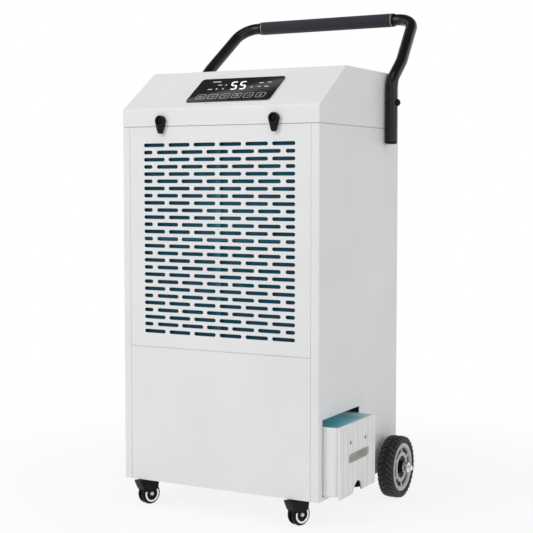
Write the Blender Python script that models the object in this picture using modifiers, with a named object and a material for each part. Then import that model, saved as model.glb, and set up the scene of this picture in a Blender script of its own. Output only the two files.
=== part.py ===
"""Commercial dehumidifier on wheels, with a pull-out water tank and a push handle.

Metres, +Z up, +X towards the tank side, +Y towards the rear. The origin is on the
floor under the middle of the whole machine. Pieces are placed in the cabinet's own
frame, whose centre line stands ahead of that origin by CABINET_Y.
"""
from math import asin, atan2, cos, degrees, pi, radians, sin, tan

import bmesh
import bpy
from mathutils import Matrix, Vector

# Cabinet
WIDTH = 0.480
DEPTH = 0.4154
BASE_Z = 0.058            # underside of the cabinet
PANEL_SEAM_Z = 0.356      # between the lower front panel and the grille panel
HOOD_SEAM_Z = 0.835       # between the body and the hood
FOLD_Z = 0.873            # where the hood's front starts to slope
TOP_Z = 0.960
SLOPE_RUN = 0.1264
SHEET = 0.0015            # sheet steel
HOOD_WALL = 0.002
PILLAR = 0.0185           # flange of a side panel, round the front and rear edges
CORNER_R = 0.0034
SEAM = 0.0016             # open joint line between two panels
FIT = 0.0003              # clearance between pieces that touch
WELD = 0.00001

HALF = WIDTH / 2
FRONT = -DEPTH / 2
REAR = DEPTH / 2
FACE_HALF = HALF - PILLAR - SEAM
SLOPE_RISE = TOP_Z - FOLD_Z
SLOPE_ANGLE = atan2(SLOPE_RISE, SLOPE_RUN)

# Intake grille: long rows and staggered rows take turns, top to bottom
SLOT_HEIGHT = 0.008
SLOT_LONG = 0.0535
SLOT_SHORT = 0.022
SLOT_PITCH = 0.0622
ROW_PITCH = 0.01555
ROW_COUNT = 27
TOP_ROW_Z = 0.795
GRILLE_HALF = 0.1845
SLOT_END_STEPS = 2

# Outlet louvres in the rear panel
LOUVRE_LENGTH = 0.105
LOUVRE_HEIGHT = 0.009
LOUVRE_ROWS = 10
LOUVRE_X = (-0.125, 0.0, 0.125)
LOUVRE_TOP_Z = 0.740
LOUVRE_PITCH = 0.030

# Cable gland and drain port, low on the rear panel
GLAND_X = 0.150
GLAND_Z = 0.255
GLAND_THREAD_R = 0.009
PORT_X = -0.150
PORT_Z = 0.215
PORT_THREAD_R = 0.008

# Control panel on the slope
GLASS_X = 0.0150
GLASS_WIDTH = 0.204
GLASS_LENGTH = 0.095
GLASS_UP = 0.0648         # its centre, up the slope from the fold
GLASS_THICK = 0.002
GLASS_CORNER = 0.008
RIM_WIDTH = 0.0022        # how far the back plate shows round the glass
BACKPLATE_THICK = 0.0016
BOARD_DEPTH = 0.014       # how far the circuit board lies under the slope
BOARD_THICK = 0.0016
BOARD_MARGIN = 0.010      # how far it stays inside the glass

# Turn-catches
LATCH_X = 0.138
LATCH_Z = 0.847
LATCH_HEAD_R = 0.0115
LATCH_TIP_R = 0.0055
LATCH_TIP_DROP = 0.0225
LATCH_THICK = 0.010
LATCH_STANDOFF = 0.0005
LATCH_DISH_R = 0.0075     # recess for the screw's head
LATCH_DISH = 0.0039
LATCH_HOLE_R = 0.0033

# Push handle
TUBE_R = 0.0135
TUBE_WALL = 0.0018
GRIP_R = 0.016
GRIP_HALF = 0.183
LEG_X = HALF + FIT + TUBE_R
LEG_Y = 0.132
LEG_BOTTOM_Z = 0.805
BEND_Z = 0.942
BAR_X = 0.231             # corner of the cross bar
BAR_Y = 0.322
BAR_Z = 1.102
BEND_R = 0.045
BAR_CORNER_R = 0.048
TOE_IN_Z = 0.990          # the legs lean in towards the bar above this
TOE_IN_R = 0.120
HANDLE_BOLT_Z = 0.893
BOLT_R = 0.004
BOLT_HEAD_R = 0.008
CROSSBAR_HALF = 0.011

# Rear wheels
WHEEL_R = 0.070
RIM_R = 0.0545
TYRE_WIDTH = 0.036
WHEEL_OUTER_X = 0.290     # outer face of the tyre
AXLE_Y = 0.129
AXLE_R = 0.006
AXLE_END_X = 0.311
NUT_ACROSS = 0.019
NUT_THICK = 0.009
RIM_WINDOWS = 6
BRACKET_X = 0.205

# Front casters: two discs either side of a hooded body
CASTER_X = 0.187
CASTER_Y = -0.1745
CASTER_TURN = radians(159)     # both trail forward
CASTER_TRAIL = 0.012
CASTER_WHEEL_R = 0.0235
CASTER_DISC = 0.0086
CASTER_WEB = 0.006
CASTER_WIDTH = 0.025
CASTER_PLATE = 0.0025
CASTER_AXLE_R = 0.003
CASTER_PIN_R = 0.004
CASTER_BOSS_R = 0.0075
CASTER_NECK = 0.010       # length of the boss, and of the pin above it
CASTER_GAP = 0.0012       # between a disc's tread and the hood
CASTER_NOSE = 0.042       # how far the hood reaches ahead of the pin

# Water tank, where the photograph shows it, pulled part way out
TANK_OUT_X = 0.280
TANK_LENGTH = 0.360
TANK_Y0 = -0.190
TANK_Y1 = -0.008
TANK_FLOOR_Z = 0.0675
TANK_RIM_Z = 0.213
TANK_LIP_Z = 0.0635       # foot of its front face, which overlaps the panel below the bay
TANK_WALL = 0.0028
TANK_FACE = 0.0055
BAY_Y0 = -0.192
BAY_Y1 = -0.006
BAY_Z0 = 0.0665
BAY_Z1 = 0.2275
GRIP_SLOT_Y0 = -0.150
GRIP_SLOT_Y1 = -0.042
GRIP_SLOT_Z = 0.1415
GRIP_SLOT_HEIGHT = 0.021
POCKET_DEPTH = 0.026
NOTCH_Y = -0.100
NOTCH_R = 0.024
RIB_GROOVES_Y = (-0.175, -0.150, -0.126, -0.102, -0.0775, -0.0505, -0.025)
GROOVE_WIDTH = 0.0025
GROOVE_DEPTH = 0.0010
RUNNER_Y = (TANK_Y0 + 0.030, TANK_Y1 - 0.030)
RUNNER_HALF = 0.008
FLOAT_HINGE_Z = 0.203

# Inside
SHELF_Z = 0.345
SPOUT_X = 0.030
SPOUT_Y = -0.120
SPOUT_END_Z = 0.224
TRAY_Z = 0.34975
COIL_HALF = 0.175
COIL_LOW_Z = 0.385
COIL_HIGH_Z = 0.795
COIL_BENDS = 4
FILTER_HALF = 0.205
FILTER_LOW_Z = 0.372
FILTER_HIGH_Z = 0.822
FILTER_RAIL = 0.012
FAN_X = -0.010
FAN_Z = 0.585
FAN_R = 0.150
FAN_Y = -0.022
FAN_BLADES = 5
BLADE_PITCH = radians(-32)
MOTOR_Y = 0.038
MOTOR_HALF = 0.036
SHROUD_Y = -0.045
COMPRESSOR_X = -0.145
COMPRESSOR_Y = 0.055
COMPRESSOR_Z = 0.090
COMPRESSOR_R = 0.058
COMPRESSOR_HEIGHT = 0.225
MOUNT_Z = 0.087
SUCTION_X = -0.120
SUCTION_Y = 0.000
SUCTION_R = 0.005
DISCHARGE_X = -0.170
DISCHARGE_Y = 0.010
DISCHARGE_R = 0.004
PIPE_LEVEL_Z = 0.372      # where both pipes turn forward to the coils

REARMOST = BAR_Y + GRIP_R
FOREMOST = FRONT - LATCH_STANDOFF - LATCH_THICK
CABINET_Y = -(REARMOST + FOREMOST) / 2

UPRIGHT = (pi / 2, 0, 0)          # lays an outline in the XZ plane, its back towards -Y
ALONG_X = (0, pi / 2, 0)          # turns a lathe axis to +X
ALONG_Y = (-pi / 2, 0, 0)         # turns a lathe axis to +Y
SIDEWAYS = (pi / 2, 0, pi / 2)    # lays an outline in the YZ plane, its front towards +X


# ---------------------------------------------------------------- scene and helpers
for old in list(bpy.data.objects):
    bpy.data.objects.remove(old, do_unlink=True)

parts = bpy.data.collections.new("dehumidifier")
cutters = bpy.data.collections.new("cutters")
bpy.context.scene.collection.children.link(parts)
bpy.context.scene.collection.children.link(cutters)


def material(name, colour, roughness, metallic=0.0):
    """A plain finish; colour is linear RGB."""
    finish = bpy.data.materials.new(name)
    finish.use_nodes = True
    shader = finish.node_tree.nodes["Principled BSDF"]
    shader.inputs["Base Color"].default_value = (*colour, 1.0)
    shader.inputs["Roughness"].default_value = roughness
    shader.inputs["Metallic"].default_value = metallic
    finish.diffuse_color = (*colour, 1.0)
    return finish


WHITE_PAINT = ("white paint", (0.75, 0.75, 0.76), 0.35)
WHITE_PLASTIC = ("white plastic", (0.72, 0.72, 0.73), 0.40)
BLACK_PAINT = ("black paint", (0.012, 0.012, 0.012), 0.30)
BLACK_PLASTIC = ("black plastic", (0.015, 0.015, 0.016), 0.40)
BLACK_GLASS = ("black glass", (0.010, 0.010, 0.012), 0.05)
BLACK_FOAM = ("black foam", (0.015, 0.015, 0.018), 0.70)
RUBBER = ("rubber", (0.018, 0.018, 0.020), 0.75)
GREY_PLASTIC = ("grey plastic", (0.45, 0.43, 0.42), 0.45)
CHROME = ("chrome", (0.80, 0.80, 0.80), 0.12, 1.0)
STEEL = ("zinc-plated steel", (0.55, 0.55, 0.54), 0.35, 1.0)
ALUMINIUM = ("coated aluminium fins", (0.08, 0.28, 0.36), 0.45, 0.4)
COPPER = ("copper", (0.72, 0.36, 0.22), 0.30, 1.0)
FILTER_NET = ("filter net", (0.04, 0.16, 0.22), 0.60)
BOARD_GREEN = ("circuit board", (0.02, 0.18, 0.07), 0.45)


def empty(name, location, turn=0.0, parent=None):
    """An axis or a frame that pieces hang from."""
    frame = bpy.data.objects.new(name, None)
    parts.objects.link(frame)
    frame.parent = parent
    frame.location = location
    frame.rotation_euler = (0, 0, turn)
    return frame


cabinet = empty("cabinet_frame", (0, CABINET_Y, 0))


def place(name, data, finish=None, location=(0, 0, 0), rotation=(0, 0, 0), parent=None):
    """Link a piece with a finish, or a cutter without one."""
    obj = bpy.data.objects.new(name, data)
    obj.parent = parent or cabinet
    obj.location = location
    obj.rotation_euler = rotation
    if finish is None:
        cutters.objects.link(obj)
        obj.hide_render = True
        obj.display_type = "WIRE"
        return obj
    parts.objects.link(obj)
    data.materials.append(material(name + " " + finish[0], *finish[1:]))
    return obj


def mesh_from(name, bm, smooth=False):
    mesh = bpy.data.meshes.new(name)
    bm.to_mesh(mesh)
    bm.free()
    if smooth:
        mesh.shade_smooth()
        mesh.set_sharp_from_angle(angle=radians(35))
    return mesh


def box(name, low, high, finish=None, parent=None, drop=None):
    """A box by two corners about its own middle; drop names one open side, such as +Z."""
    low = Vector(low)
    high = Vector(high)
    bm = bmesh.new()
    size = Matrix.Diagonal((*(high - low), 1))
    bmesh.ops.create_cube(bm, size=1, matrix=size)
    if drop:
        axis = "XYZ".index(drop[1])
        sign = 1 if drop[0] == "+" else -1
        open_faces = [face for face in bm.faces if face.normal[axis] * sign > 0.5]
        bmesh.ops.delete(bm, geom=open_faces, context="FACES")
    return place(name, mesh_from(name, bm), finish, (low + high) / 2, parent=parent)


def boxes(name, corners):
    """One cutter made of several boxes that stay apart."""
    bm = bmesh.new()
    for low, high in corners:
        low = Vector(low)
        high = Vector(high)
        size = Matrix.Diagonal((*(high - low), 1))
        bmesh.ops.create_cube(bm, size=1, matrix=Matrix.Translation((low + high) / 2) @ size)
    return place(name, mesh_from(name, bm))


def cylinder(name, centre, radius, length, axis, finish=None, segments=24, parent=None):
    bm = bmesh.new()
    bmesh.ops.create_cone(
        bm, cap_ends=True, segments=segments, radius1=radius, radius2=radius, depth=length)
    rotation = {"X": ALONG_X, "Y": ALONG_Y, "Z": (0, 0, 0)}[axis]
    return place(name, mesh_from(name, bm, smooth=True), finish, centre, rotation, parent)


def turned(name, profile, finish=None, location=(0, 0, 0), rotation=(0, 0, 0), steps=24,
           parent=None):
    """A lathe shape: (radius, height) points down the outer side, round local Z."""
    mesh = bpy.data.meshes.new(name)
    points = [(radius, 0, height) for radius, height in profile]
    edges = [(i, i + 1) for i in range(len(points) - 1)]
    if profile[0][0] > 0:
        edges.append((len(points) - 1, 0))
    mesh.from_pydata(points, edges, [])
    obj = place(name, mesh, finish, location, rotation, parent)
    screw = obj.modifiers.new("Screw", "SCREW")
    screw.steps = steps
    screw.render_steps = steps
    screw.use_merge_vertices = True
    screw.merge_threshold = WELD
    screw.use_smooth_shade = True
    return obj


def outline(name, loops, thick, finish=None, location=(0, 0, 0), rotation=(0, 0, 0), parent=None):
    """A flat outline with holes, thickened about its plane."""
    curve = bpy.data.curves.new(name, "CURVE")
    curve.dimensions = "2D"
    curve.fill_mode = "BOTH"
    curve.extrude = thick / 2
    for loop in loops:
        spline = curve.splines.new("POLY")
        spline.points.add(len(loop) - 1)
        for point, (across, up) in zip(spline.points, loop):
            point.co = (across, up, 0, 1)
        spline.use_cyclic_u = True
    return place(name, curve, finish, location, rotation, parent)


def tube(name, points, radius, finish=None, resolution=2):
    curve = bpy.data.curves.new(name, "CURVE")
    curve.dimensions = "3D"
    curve.bevel_depth = radius
    curve.bevel_resolution = resolution
    curve.use_fill_caps = True
    spline = curve.splines.new("POLY")
    spline.points.add(len(points) - 1)
    for point, where in zip(spline.points, points):
        point.co = (*where, 1)
    return place(name, curve, finish)


def as_mesh(obj):
    """Swap a curve object for a closed mesh object of the same name and place."""
    bpy.context.view_layer.update()
    graph = bpy.context.evaluated_depsgraph_get()
    mesh = bpy.data.meshes.new_from_object(obj.evaluated_get(graph))
    bm = bmesh.new()
    bm.from_mesh(mesh)
    bmesh.ops.remove_doubles(bm, verts=bm.verts, dist=WELD)
    bmesh.ops.recalc_face_normals(bm, faces=bm.faces)
    bm.to_mesh(mesh)
    bm.free()
    mesh.set_sharp_from_angle(angle=radians(35))
    name = obj.name
    solid = bpy.data.objects.new(name + "_solid", mesh)
    obj.users_collection[0].objects.link(solid)
    solid.parent = obj.parent
    solid.matrix_world = obj.matrix_world
    solid.hide_render = obj.hide_render
    solid.display_type = obj.display_type
    bpy.data.objects.remove(obj)
    solid.name = name
    return solid


def boolean(obj, tool, operation):
    modifier = obj.modifiers.new(operation.title(), "BOOLEAN")
    modifier.operation = operation
    modifier.solver = "EXACT"
    modifier.object = tool
    return obj


def cut(obj, tool):
    return boolean(obj, tool, "DIFFERENCE")


def join(obj, tool):
    return boolean(obj, tool, "UNION")


def solidify(obj, wall):
    """Thicken an open surface inwards."""
    modifier = obj.modifiers.new("Solidify", "SOLIDIFY")
    modifier.thickness = wall
    modifier.offset = -1
    modifier.use_even_offset = True
    return obj


def bevel(obj, width, segments=2, angle=30):
    modifier = obj.modifiers.new("Bevel", "BEVEL")
    modifier.width = width
    modifier.segments = segments
    modifier.limit_method = "ANGLE"
    modifier.angle_limit = radians(angle)
    return obj


def arc(centre, radius, start, end, steps):
    """Points on an arc, angles in degrees."""
    turns = [radians(start + (end - start) * i / steps) for i in range(steps + 1)]
    return [(centre[0] + radius * cos(turn), centre[1] + radius * sin(turn)) for turn in turns]


def circle(centre, radius, steps=24):
    return arc(centre, radius, 0, 360, steps)[:-1]


def stadium(left, right, middle, height, steps):
    """A slot with round ends."""
    radius = height / 2
    right_end = arc((right - radius, middle), radius, -90, 90, steps)
    left_end = arc((left + radius, middle), radius, 90, 270, steps)
    return right_end + left_end


def rounded_rectangle(width, height, radius, steps=4):
    points = []
    for corner, (sign_x, sign_y) in enumerate(((1, 1), (-1, 1), (-1, -1), (1, -1))):
        centre = (sign_x * (width / 2 - radius), sign_y * (height / 2 - radius))
        points += arc(centre, radius, 90 * corner, 90 * corner + 90, steps)
    return points


def rectangle(x0, x1, y0, y1):
    return [(x0, y0), (x1, y0), (x1, y1), (x0, y1)]


def rounded_path(corners, radii, steps):
    """Points along straight runs that arcs of the given radii join."""
    points = [corners[0]]
    for before, corner, after, radius in zip(corners, corners[1:], corners[2:], radii):
        back = (before - corner).normalized()
        ahead = (after - corner).normalized()
        half = back.angle(ahead) / 2
        centre = corner + (back + ahead).normalized() * radius / sin(half)
        first = corner + back * radius / tan(half) - centre
        last = corner + ahead * radius / tan(half) - centre
        swing = first.angle(last)
        for step in range(steps + 1):
            share = step / steps
            blend = first * sin((1 - share) * swing) + last * sin(share * swing)
            points.append(centre + blend / sin(swing))
    points.append(corners[-1])
    return points


# ---------------------------------------------------------------- cabinet
def side_section():
    """Section of a side panel in plan: wall, front flange and rear flange."""
    inner_r = CORNER_R - SHEET
    edge = HALF - PILLAR
    front = (HALF - CORNER_R, FRONT + CORNER_R)
    rear = (HALF - CORNER_R, REAR - CORNER_R)
    outer = [(edge, FRONT)] + arc(front, CORNER_R, -90, 0, 3)
    outer += arc(rear, CORNER_R, 0, 90, 3) + [(edge, REAR)]
    inner = [(edge, REAR - SHEET)] + arc(rear, inner_r, 90, 0, 3)
    inner += arc(front, inner_r, 0, -90, 3) + [(edge, FRONT + SHEET)]
    return outer + inner


def side_panels():
    top = HOOD_SEAM_Z - SEAM / 2
    for side, sign in (("left", -1), ("right", 1)):
        section = [(x * sign, y) for x, y in side_section()]
        panel = outline(side + "_side_panel", [section], top - BASE_Z, WHITE_PAINT,
                        (0, 0, (top + BASE_Z) / 2))
        panel = as_mesh(panel)
        axle_hole = cylinder(side + "_axle_hole", (sign * HALF, AXLE_Y, WHEEL_R), AXLE_R + 0.001,
                             0.02, "X", segments=16)
        cut(panel, axle_hole)
        if side == "right":
            bay = box("tank_bay", (HALF - 0.01, BAY_Y0, BAY_Z0), (HALF + 0.01, BAY_Y1, BAY_Z1))
            cut(panel, bay)


def front_panels():
    lower_top = PANEL_SEAM_Z - SEAM / 2
    middle_y = FRONT + SHEET / 2
    lower = box("front_lower_panel", (-FACE_HALF, FRONT, BASE_Z),
                (FACE_HALF, FRONT + SHEET, lower_top), WHITE_PAINT)
    bevel(lower, 0.0004, 1)
    low = PANEL_SEAM_Z + SEAM / 2
    high = HOOD_SEAM_Z - SEAM / 2
    loops = [rectangle(-FACE_HALF, FACE_HALF, low, high)] + grille_slots()
    outline("front_grille_panel", loops, SHEET, WHITE_PAINT, (0, middle_y, 0), UPRIGHT)
    box("front_cross_rail", (-HALF + 0.004, FRONT + SHEET + 0.0008, PANEL_SEAM_Z - 0.009),
        (HALF - 0.004, FRONT + 0.018, PANEL_SEAM_Z + 0.009), STEEL)


def grille_slots():
    slots = []
    for row in range(ROW_COUNT):
        middle = TOP_ROW_Z - row * ROW_PITCH
        if row % 2 == 0:
            lefts = [-GRILLE_HALF + i * (2 * GRILLE_HALF - SLOT_LONG) / 5 for i in range(6)]
            spans = [(left, left + SLOT_LONG) for left in lefts]
        else:
            centres = [(i - 2) * SLOT_PITCH for i in range(5)]
            spans = [(c - SLOT_LONG / 2, c + SLOT_LONG / 2) for c in centres]
            spans.append((-GRILLE_HALF, -GRILLE_HALF + SLOT_SHORT))
            spans.append((GRILLE_HALF - SLOT_SHORT, GRILLE_HALF))
        for left, right in spans:
            slots.append(stadium(left, right, middle, SLOT_HEIGHT, SLOT_END_STEPS))
    return slots


def rear_panel():
    loops = [rectangle(-FACE_HALF, FACE_HALF, BASE_Z, HOOD_SEAM_Z - SEAM / 2)]
    for row in range(LOUVRE_ROWS):
        middle = LOUVRE_TOP_Z - row * LOUVRE_PITCH
        for x in LOUVRE_X:
            half = LOUVRE_LENGTH / 2
            loops.append(stadium(x - half, x + half, middle, LOUVRE_HEIGHT, SLOT_END_STEPS))
    for x, z, radius in ((GLAND_X, GLAND_Z, GLAND_THREAD_R), (PORT_X, PORT_Z, PORT_THREAD_R)):
        loops.append(circle((x, z), radius + FIT, 16))
    outline("rear_panel", loops, SHEET, WHITE_PAINT, (0, REAR - SHEET / 2, 0), UPRIGHT)


def rear_fittings():
    gland = [(0, 0.0205), (0.0060, 0.024), (0.0095, 0.022), (0.0105, 0.013), (0.014, 0.012),
             (0.014, 0.0004), (GLAND_THREAD_R, 0.0004), (GLAND_THREAD_R, -0.010), (0, -0.010)]
    turned("cable_gland", gland, BLACK_PLASTIC, (GLAND_X, REAR, GLAND_Z), ALONG_Y, 12)
    port = [(0, 0.030), (0.0055, 0.030), (0.0070, 0.022), (0.0058, 0.021), (0.0073, 0.013),
            (0.0060, 0.012), (0.0060, 0.006), (0.015, 0.005), (0.015, 0.0004),
            (PORT_THREAD_R, 0.0004), (PORT_THREAD_R, -0.008), (0, -0.008)]
    turned("drain_port", port, WHITE_PLASTIC, (PORT_X, REAR, PORT_Z), ALONG_Y, 12)


def base_pan():
    """Floor with front and rear rims and two raised runners for the tank."""
    inset = SHEET + 0.0009
    half_x = HALF - inset
    half_y = REAR - inset
    rim_z = BASE_Z + 0.026
    loop = [(-half_y, BASE_Z), (half_y, BASE_Z), (half_y, rim_z), (half_y - SHEET, rim_z),
            (half_y - SHEET, BASE_Z + SHEET), (-half_y + SHEET, BASE_Z + SHEET),
            (-half_y + SHEET, rim_z), (-half_y, rim_z)]
    pan = as_mesh(outline("base_pan", [loop], 2 * half_x, STEEL, (0, 0, 0), SIDEWAYS))
    runner_top = TANK_FLOOR_Z - FIT
    for index, y in enumerate(RUNNER_Y):
        runner = box(f"runner_{index}", (-0.140, y - RUNNER_HALF, BASE_Z + SHEET / 2),
                     (half_x - 0.010, y + RUNNER_HALF, runner_top))
        join(pan, runner)


def hood():
    """Folded cover, open below: upright strip, slope and flat top."""
    low_z = HOOD_SEAM_Z + SEAM / 2
    bm = bmesh.new()
    size = Matrix.Diagonal((WIDTH, DEPTH, TOP_Z - low_z, 1))
    middle = Matrix.Translation((0, 0, (TOP_Z + low_z) / 2))
    bmesh.ops.create_cube(bm, size=1, matrix=middle @ size)
    normal = Vector((0, -sin(SLOPE_ANGLE), cos(SLOPE_ANGLE)))
    sliced = bmesh.ops.bisect_plane(
        bm, geom=bm.verts[:] + bm.edges[:] + bm.faces[:], plane_co=(0, FRONT, FOLD_Z),
        plane_no=normal, clear_outer=True)
    rim = [item for item in sliced["geom_cut"] if isinstance(item, bmesh.types.BMEdge)]
    bmesh.ops.edgenet_fill(bm, edges=rim)
    bmesh.ops.recalc_face_normals(bm, faces=bm.faces)
    bevelled = [edge for edge in bm.edges if min(v.co.z for v in edge.verts) > low_z + 0.001
                or abs(edge.verts[0].co.z - edge.verts[1].co.z) > 0.02]
    bmesh.ops.bevel(bm, geom=bevelled, offset=0.0022, segments=2, profile=0.5,
                    affect="EDGES", clamp_overlap=True)
    below = [face for face in bm.faces if face.normal.z < -0.9]
    bmesh.ops.delete(bm, geom=below, context="FACES")
    cover = place("top_hood", mesh_from("top_hood", bm, smooth=True), WHITE_PAINT)
    solidify(cover, HOOD_WALL)
    for side, sign in (("left", -1), ("right", 1)):
        screw_hole = cylinder(side + "_catch_hole", (sign * LATCH_X, FRONT, LATCH_Z),
                              LATCH_HOLE_R, 0.012, "Y", segments=12)
        cut(cover, screw_hole)
        bolt_hole = cylinder(side + "_bolt_hole", (sign * HALF, LEG_Y, HANDLE_BOLT_Z),
                             BOLT_R + FIT, 0.02, "X", segments=12)
        cut(cover, bolt_hole)


# ---------------------------------------------------------------- control panel
def on_slope(across, up, out):
    """A place on the hood's slope: across, up the slope from the fold, and out of it."""
    y = FRONT + up * cos(SLOPE_ANGLE) - out * sin(SLOPE_ANGLE)
    z = FOLD_Z + up * sin(SLOPE_ANGLE) + out * cos(SLOPE_ANGLE)
    return (across, y, z)


def control_panel():
    lean = (SLOPE_ANGLE, 0, 0)
    plate = rounded_rectangle(GLASS_WIDTH + 2 * RIM_WIDTH, GLASS_LENGTH + 2 * RIM_WIDTH,
                              GLASS_CORNER + RIM_WIDTH)
    outline("control_backplate", [plate], BACKPLATE_THICK, WHITE_PLASTIC,
            on_slope(GLASS_X, GLASS_UP, FIT + BACKPLATE_THICK / 2), lean)
    glass_out = 2 * FIT + BACKPLATE_THICK + GLASS_THICK / 2
    glass = rounded_rectangle(GLASS_WIDTH, GLASS_LENGTH, GLASS_CORNER)
    outline("display_glass", [glass], GLASS_THICK, BLACK_GLASS,
            on_slope(GLASS_X, GLASS_UP, glass_out), lean)
    half_x = GLASS_WIDTH / 2 - BOARD_MARGIN
    half_up = GLASS_LENGTH / 2 - BOARD_MARGIN
    board = rectangle(-half_x, half_x, -half_up, half_up)
    outline("control_board", [board], BOARD_THICK, BOARD_GREEN,
            on_slope(GLASS_X, GLASS_UP, -BOARD_DEPTH), lean)


# ---------------------------------------------------------------- turn-catches
def latches():
    """Teardrop turn-buttons: the tail hangs over the grille panel's top edge."""
    lean = degrees(atan2(LATCH_HEAD_R - LATCH_TIP_R, LATCH_TIP_DROP))
    tail = (0, -LATCH_TIP_DROP)
    teardrop = arc((0, 0), LATCH_HEAD_R, -lean, 180 + lean, 14)
    teardrop += arc(tail, LATCH_TIP_R, 180 + lean, 360 - lean, 5)
    for side, sign in (("left", -1), ("right", 1)):
        axis = empty(side + "_catch_axis", (sign * LATCH_X, FRONT, LATCH_Z), parent=cabinet)
        middle = -LATCH_STANDOFF - LATCH_THICK / 2
        catch = as_mesh(outline("latch_" + side, [teardrop, circle((0, 0), LATCH_HOLE_R, 12)],
                                LATCH_THICK, BLACK_PLASTIC, (0, middle, 0), UPRIGHT, axis))
        dish = cylinder(side + "_catch_dish", (0, -LATCH_STANDOFF - LATCH_THICK, 0),
                        LATCH_DISH_R, 2 * LATCH_DISH, "Y", segments=16, parent=axis)
        cut(catch, dish)
        screw = [(0, 0.0090), (0.0045, 0.0085), (0.0060, 0.0073), (0.0060, 0.0071),
                 (0.0028, 0.0071), (0.0028, -0.0090), (0, -0.0090)]
        turned("latch_screw_" + side, screw, STEEL, (sign * LATCH_X, FRONT, LATCH_Z), UPRIGHT, 12)


# ---------------------------------------------------------------- push handle
def handle_corners():
    """Corners of the handle's centre line, from the left foot to the right foot."""
    toe_in_y = LEG_Y + (BAR_Y - LEG_Y) * (TOE_IN_Z - BEND_Z) / (BAR_Z - BEND_Z)
    right = [Vector((BAR_X, BAR_Y, BAR_Z)), Vector((LEG_X, toe_in_y, TOE_IN_Z)),
             Vector((LEG_X, LEG_Y, BEND_Z)), Vector((LEG_X, LEG_Y, LEG_BOTTOM_Z))]
    left = [Vector((-corner.x, corner.y, corner.z)) for corner in reversed(right)]
    return left + right


def handle():
    radii = (BEND_R, TOE_IN_R, BAR_CORNER_R, BAR_CORNER_R, TOE_IN_R, BEND_R)
    path = rounded_path(handle_corners(), radii, 4)
    pipe = as_mesh(tube("handle_tube", path, TUBE_R, BLACK_PAINT, 3))
    longer = [path[0] - Vector((0, 0, 0.005))] + path[1:-1] + [path[-1] - Vector((0, 0, 0.005))]
    bore = as_mesh(tube("handle_bore", longer, TUBE_R - TUBE_WALL, resolution=2))
    cut(pipe, bore)
    for side, sign in (("left", -1), ("right", 1)):
        hole = cylinder(side + "_leg_hole", (sign * LEG_X, LEG_Y, HANDLE_BOLT_Z), BOLT_R + FIT,
                        0.05, "X", segments=12)
        cut(pipe, hole)
        plug = [(0, 0.012), (0.0106, 0.012), (0.0106, -FIT), (TUBE_R, -FIT), (0.0115, -0.0036),
                (0, -0.0050)]
        turned("handle_plug_" + side, plug, BLACK_PLASTIC, (sign * LEG_X, LEG_Y, LEG_BOTTOM_Z),
               steps=12)
        outer = TUBE_R + FIT
        bolt = [(0, outer + 0.0070), (0.0040, outer + 0.0062), (0.0068, outer + 0.0040),
                (BOLT_HEAD_R, outer), (BOLT_R, outer), (BOLT_R, -0.040), (0, -0.040)]
        turned("handle_bolt_" + side, bolt, BLACK_PLASTIC, (sign * LEG_X, LEG_Y, HANDLE_BOLT_Z),
               (0, sign * pi / 2, 0), 12)
    grip = [(GRIP_R - 0.0015, GRIP_HALF), (GRIP_R, GRIP_HALF - 0.002),
            (GRIP_R, -GRIP_HALF + 0.002), (GRIP_R - 0.0015, -GRIP_HALF),
            (TUBE_R + FIT, -GRIP_HALF), (TUBE_R + FIT, GRIP_HALF)]
    turned("handle_grip", grip, BLACK_FOAM, (0, BAR_Y, BAR_Z), ALONG_X, 20)
    crossbar()


def crossbar():
    """Square bar inside the hood that both handle bolts screw into."""
    reach = HALF - HOOD_WALL - FIT
    half = CROSSBAR_HALF
    bar = box("handle_crossbar", (-reach, LEG_Y - half, HANDLE_BOLT_Z - half),
              (reach, LEG_Y + half, HANDLE_BOLT_Z + half), STEEL)
    for side, sign in (("left", -1), ("right", 1)):
        hole = cylinder(side + "_tapped_hole", (sign * reach, LEG_Y, HANDLE_BOLT_Z),
                        BOLT_R + FIT, 0.060, "X", segments=12)
        cut(bar, hole)


# ---------------------------------------------------------------- rear wheels
def rear_wheels():
    middle_x = WHEEL_OUTER_X - TYRE_WIDTH / 2
    axle = [(0, AXLE_END_X), (AXLE_R - 0.001, AXLE_END_X), (AXLE_R, AXLE_END_X - 0.001),
            (AXLE_R, -AXLE_END_X + 0.001), (AXLE_R - 0.001, -AXLE_END_X), (0, -AXLE_END_X)]
    turned("rear_axle", axle, STEEL, (0, AXLE_Y, WHEEL_R), ALONG_X, 16)
    for side, sign in (("left", -1), ("right", 1)):
        outward = (0, sign * pi / 2, 0)
        axis = empty(side + "_wheel_axis", (sign * middle_x, AXLE_Y, WHEEL_R), parent=cabinet)
        turned("tyre_" + side, tyre_profile(), RUBBER, (0, 0, 0), outward, 24, axis)
        rim = turned("rim_" + side, rim_profile(), GREY_PLASTIC, (0, 0, 0), outward, 24, axis)
        for index in range(RIM_WINDOWS):
            cut(rim, rim_window(f"{side}_window_{index}", index, outward, axis))
        hexagon = circle((0, 0), NUT_ACROSS / 2 / cos(pi / 6), 6)
        nut_x = WHEEL_OUTER_X + 0.004 + NUT_THICK / 2
        outline("axle_nut_" + side, [hexagon, circle((0, 0), AXLE_R + FIT, 16)], NUT_THICK,
                CHROME, (sign * nut_x, AXLE_Y, WHEEL_R), outward)
        bracket = box("axle_bracket_" + side,
                      (sign * BRACKET_X - 0.004, AXLE_Y - 0.014, BASE_Z + SHEET + FIT),
                      (sign * BRACKET_X + 0.004, AXLE_Y + 0.014, WHEEL_R + 0.014), STEEL)
        bore = cylinder(side + "_bracket_bore", (sign * BRACKET_X, AXLE_Y, WHEEL_R),
                        AXLE_R + FIT, 0.02, "X", segments=16)
        cut(bracket, bore)


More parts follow.
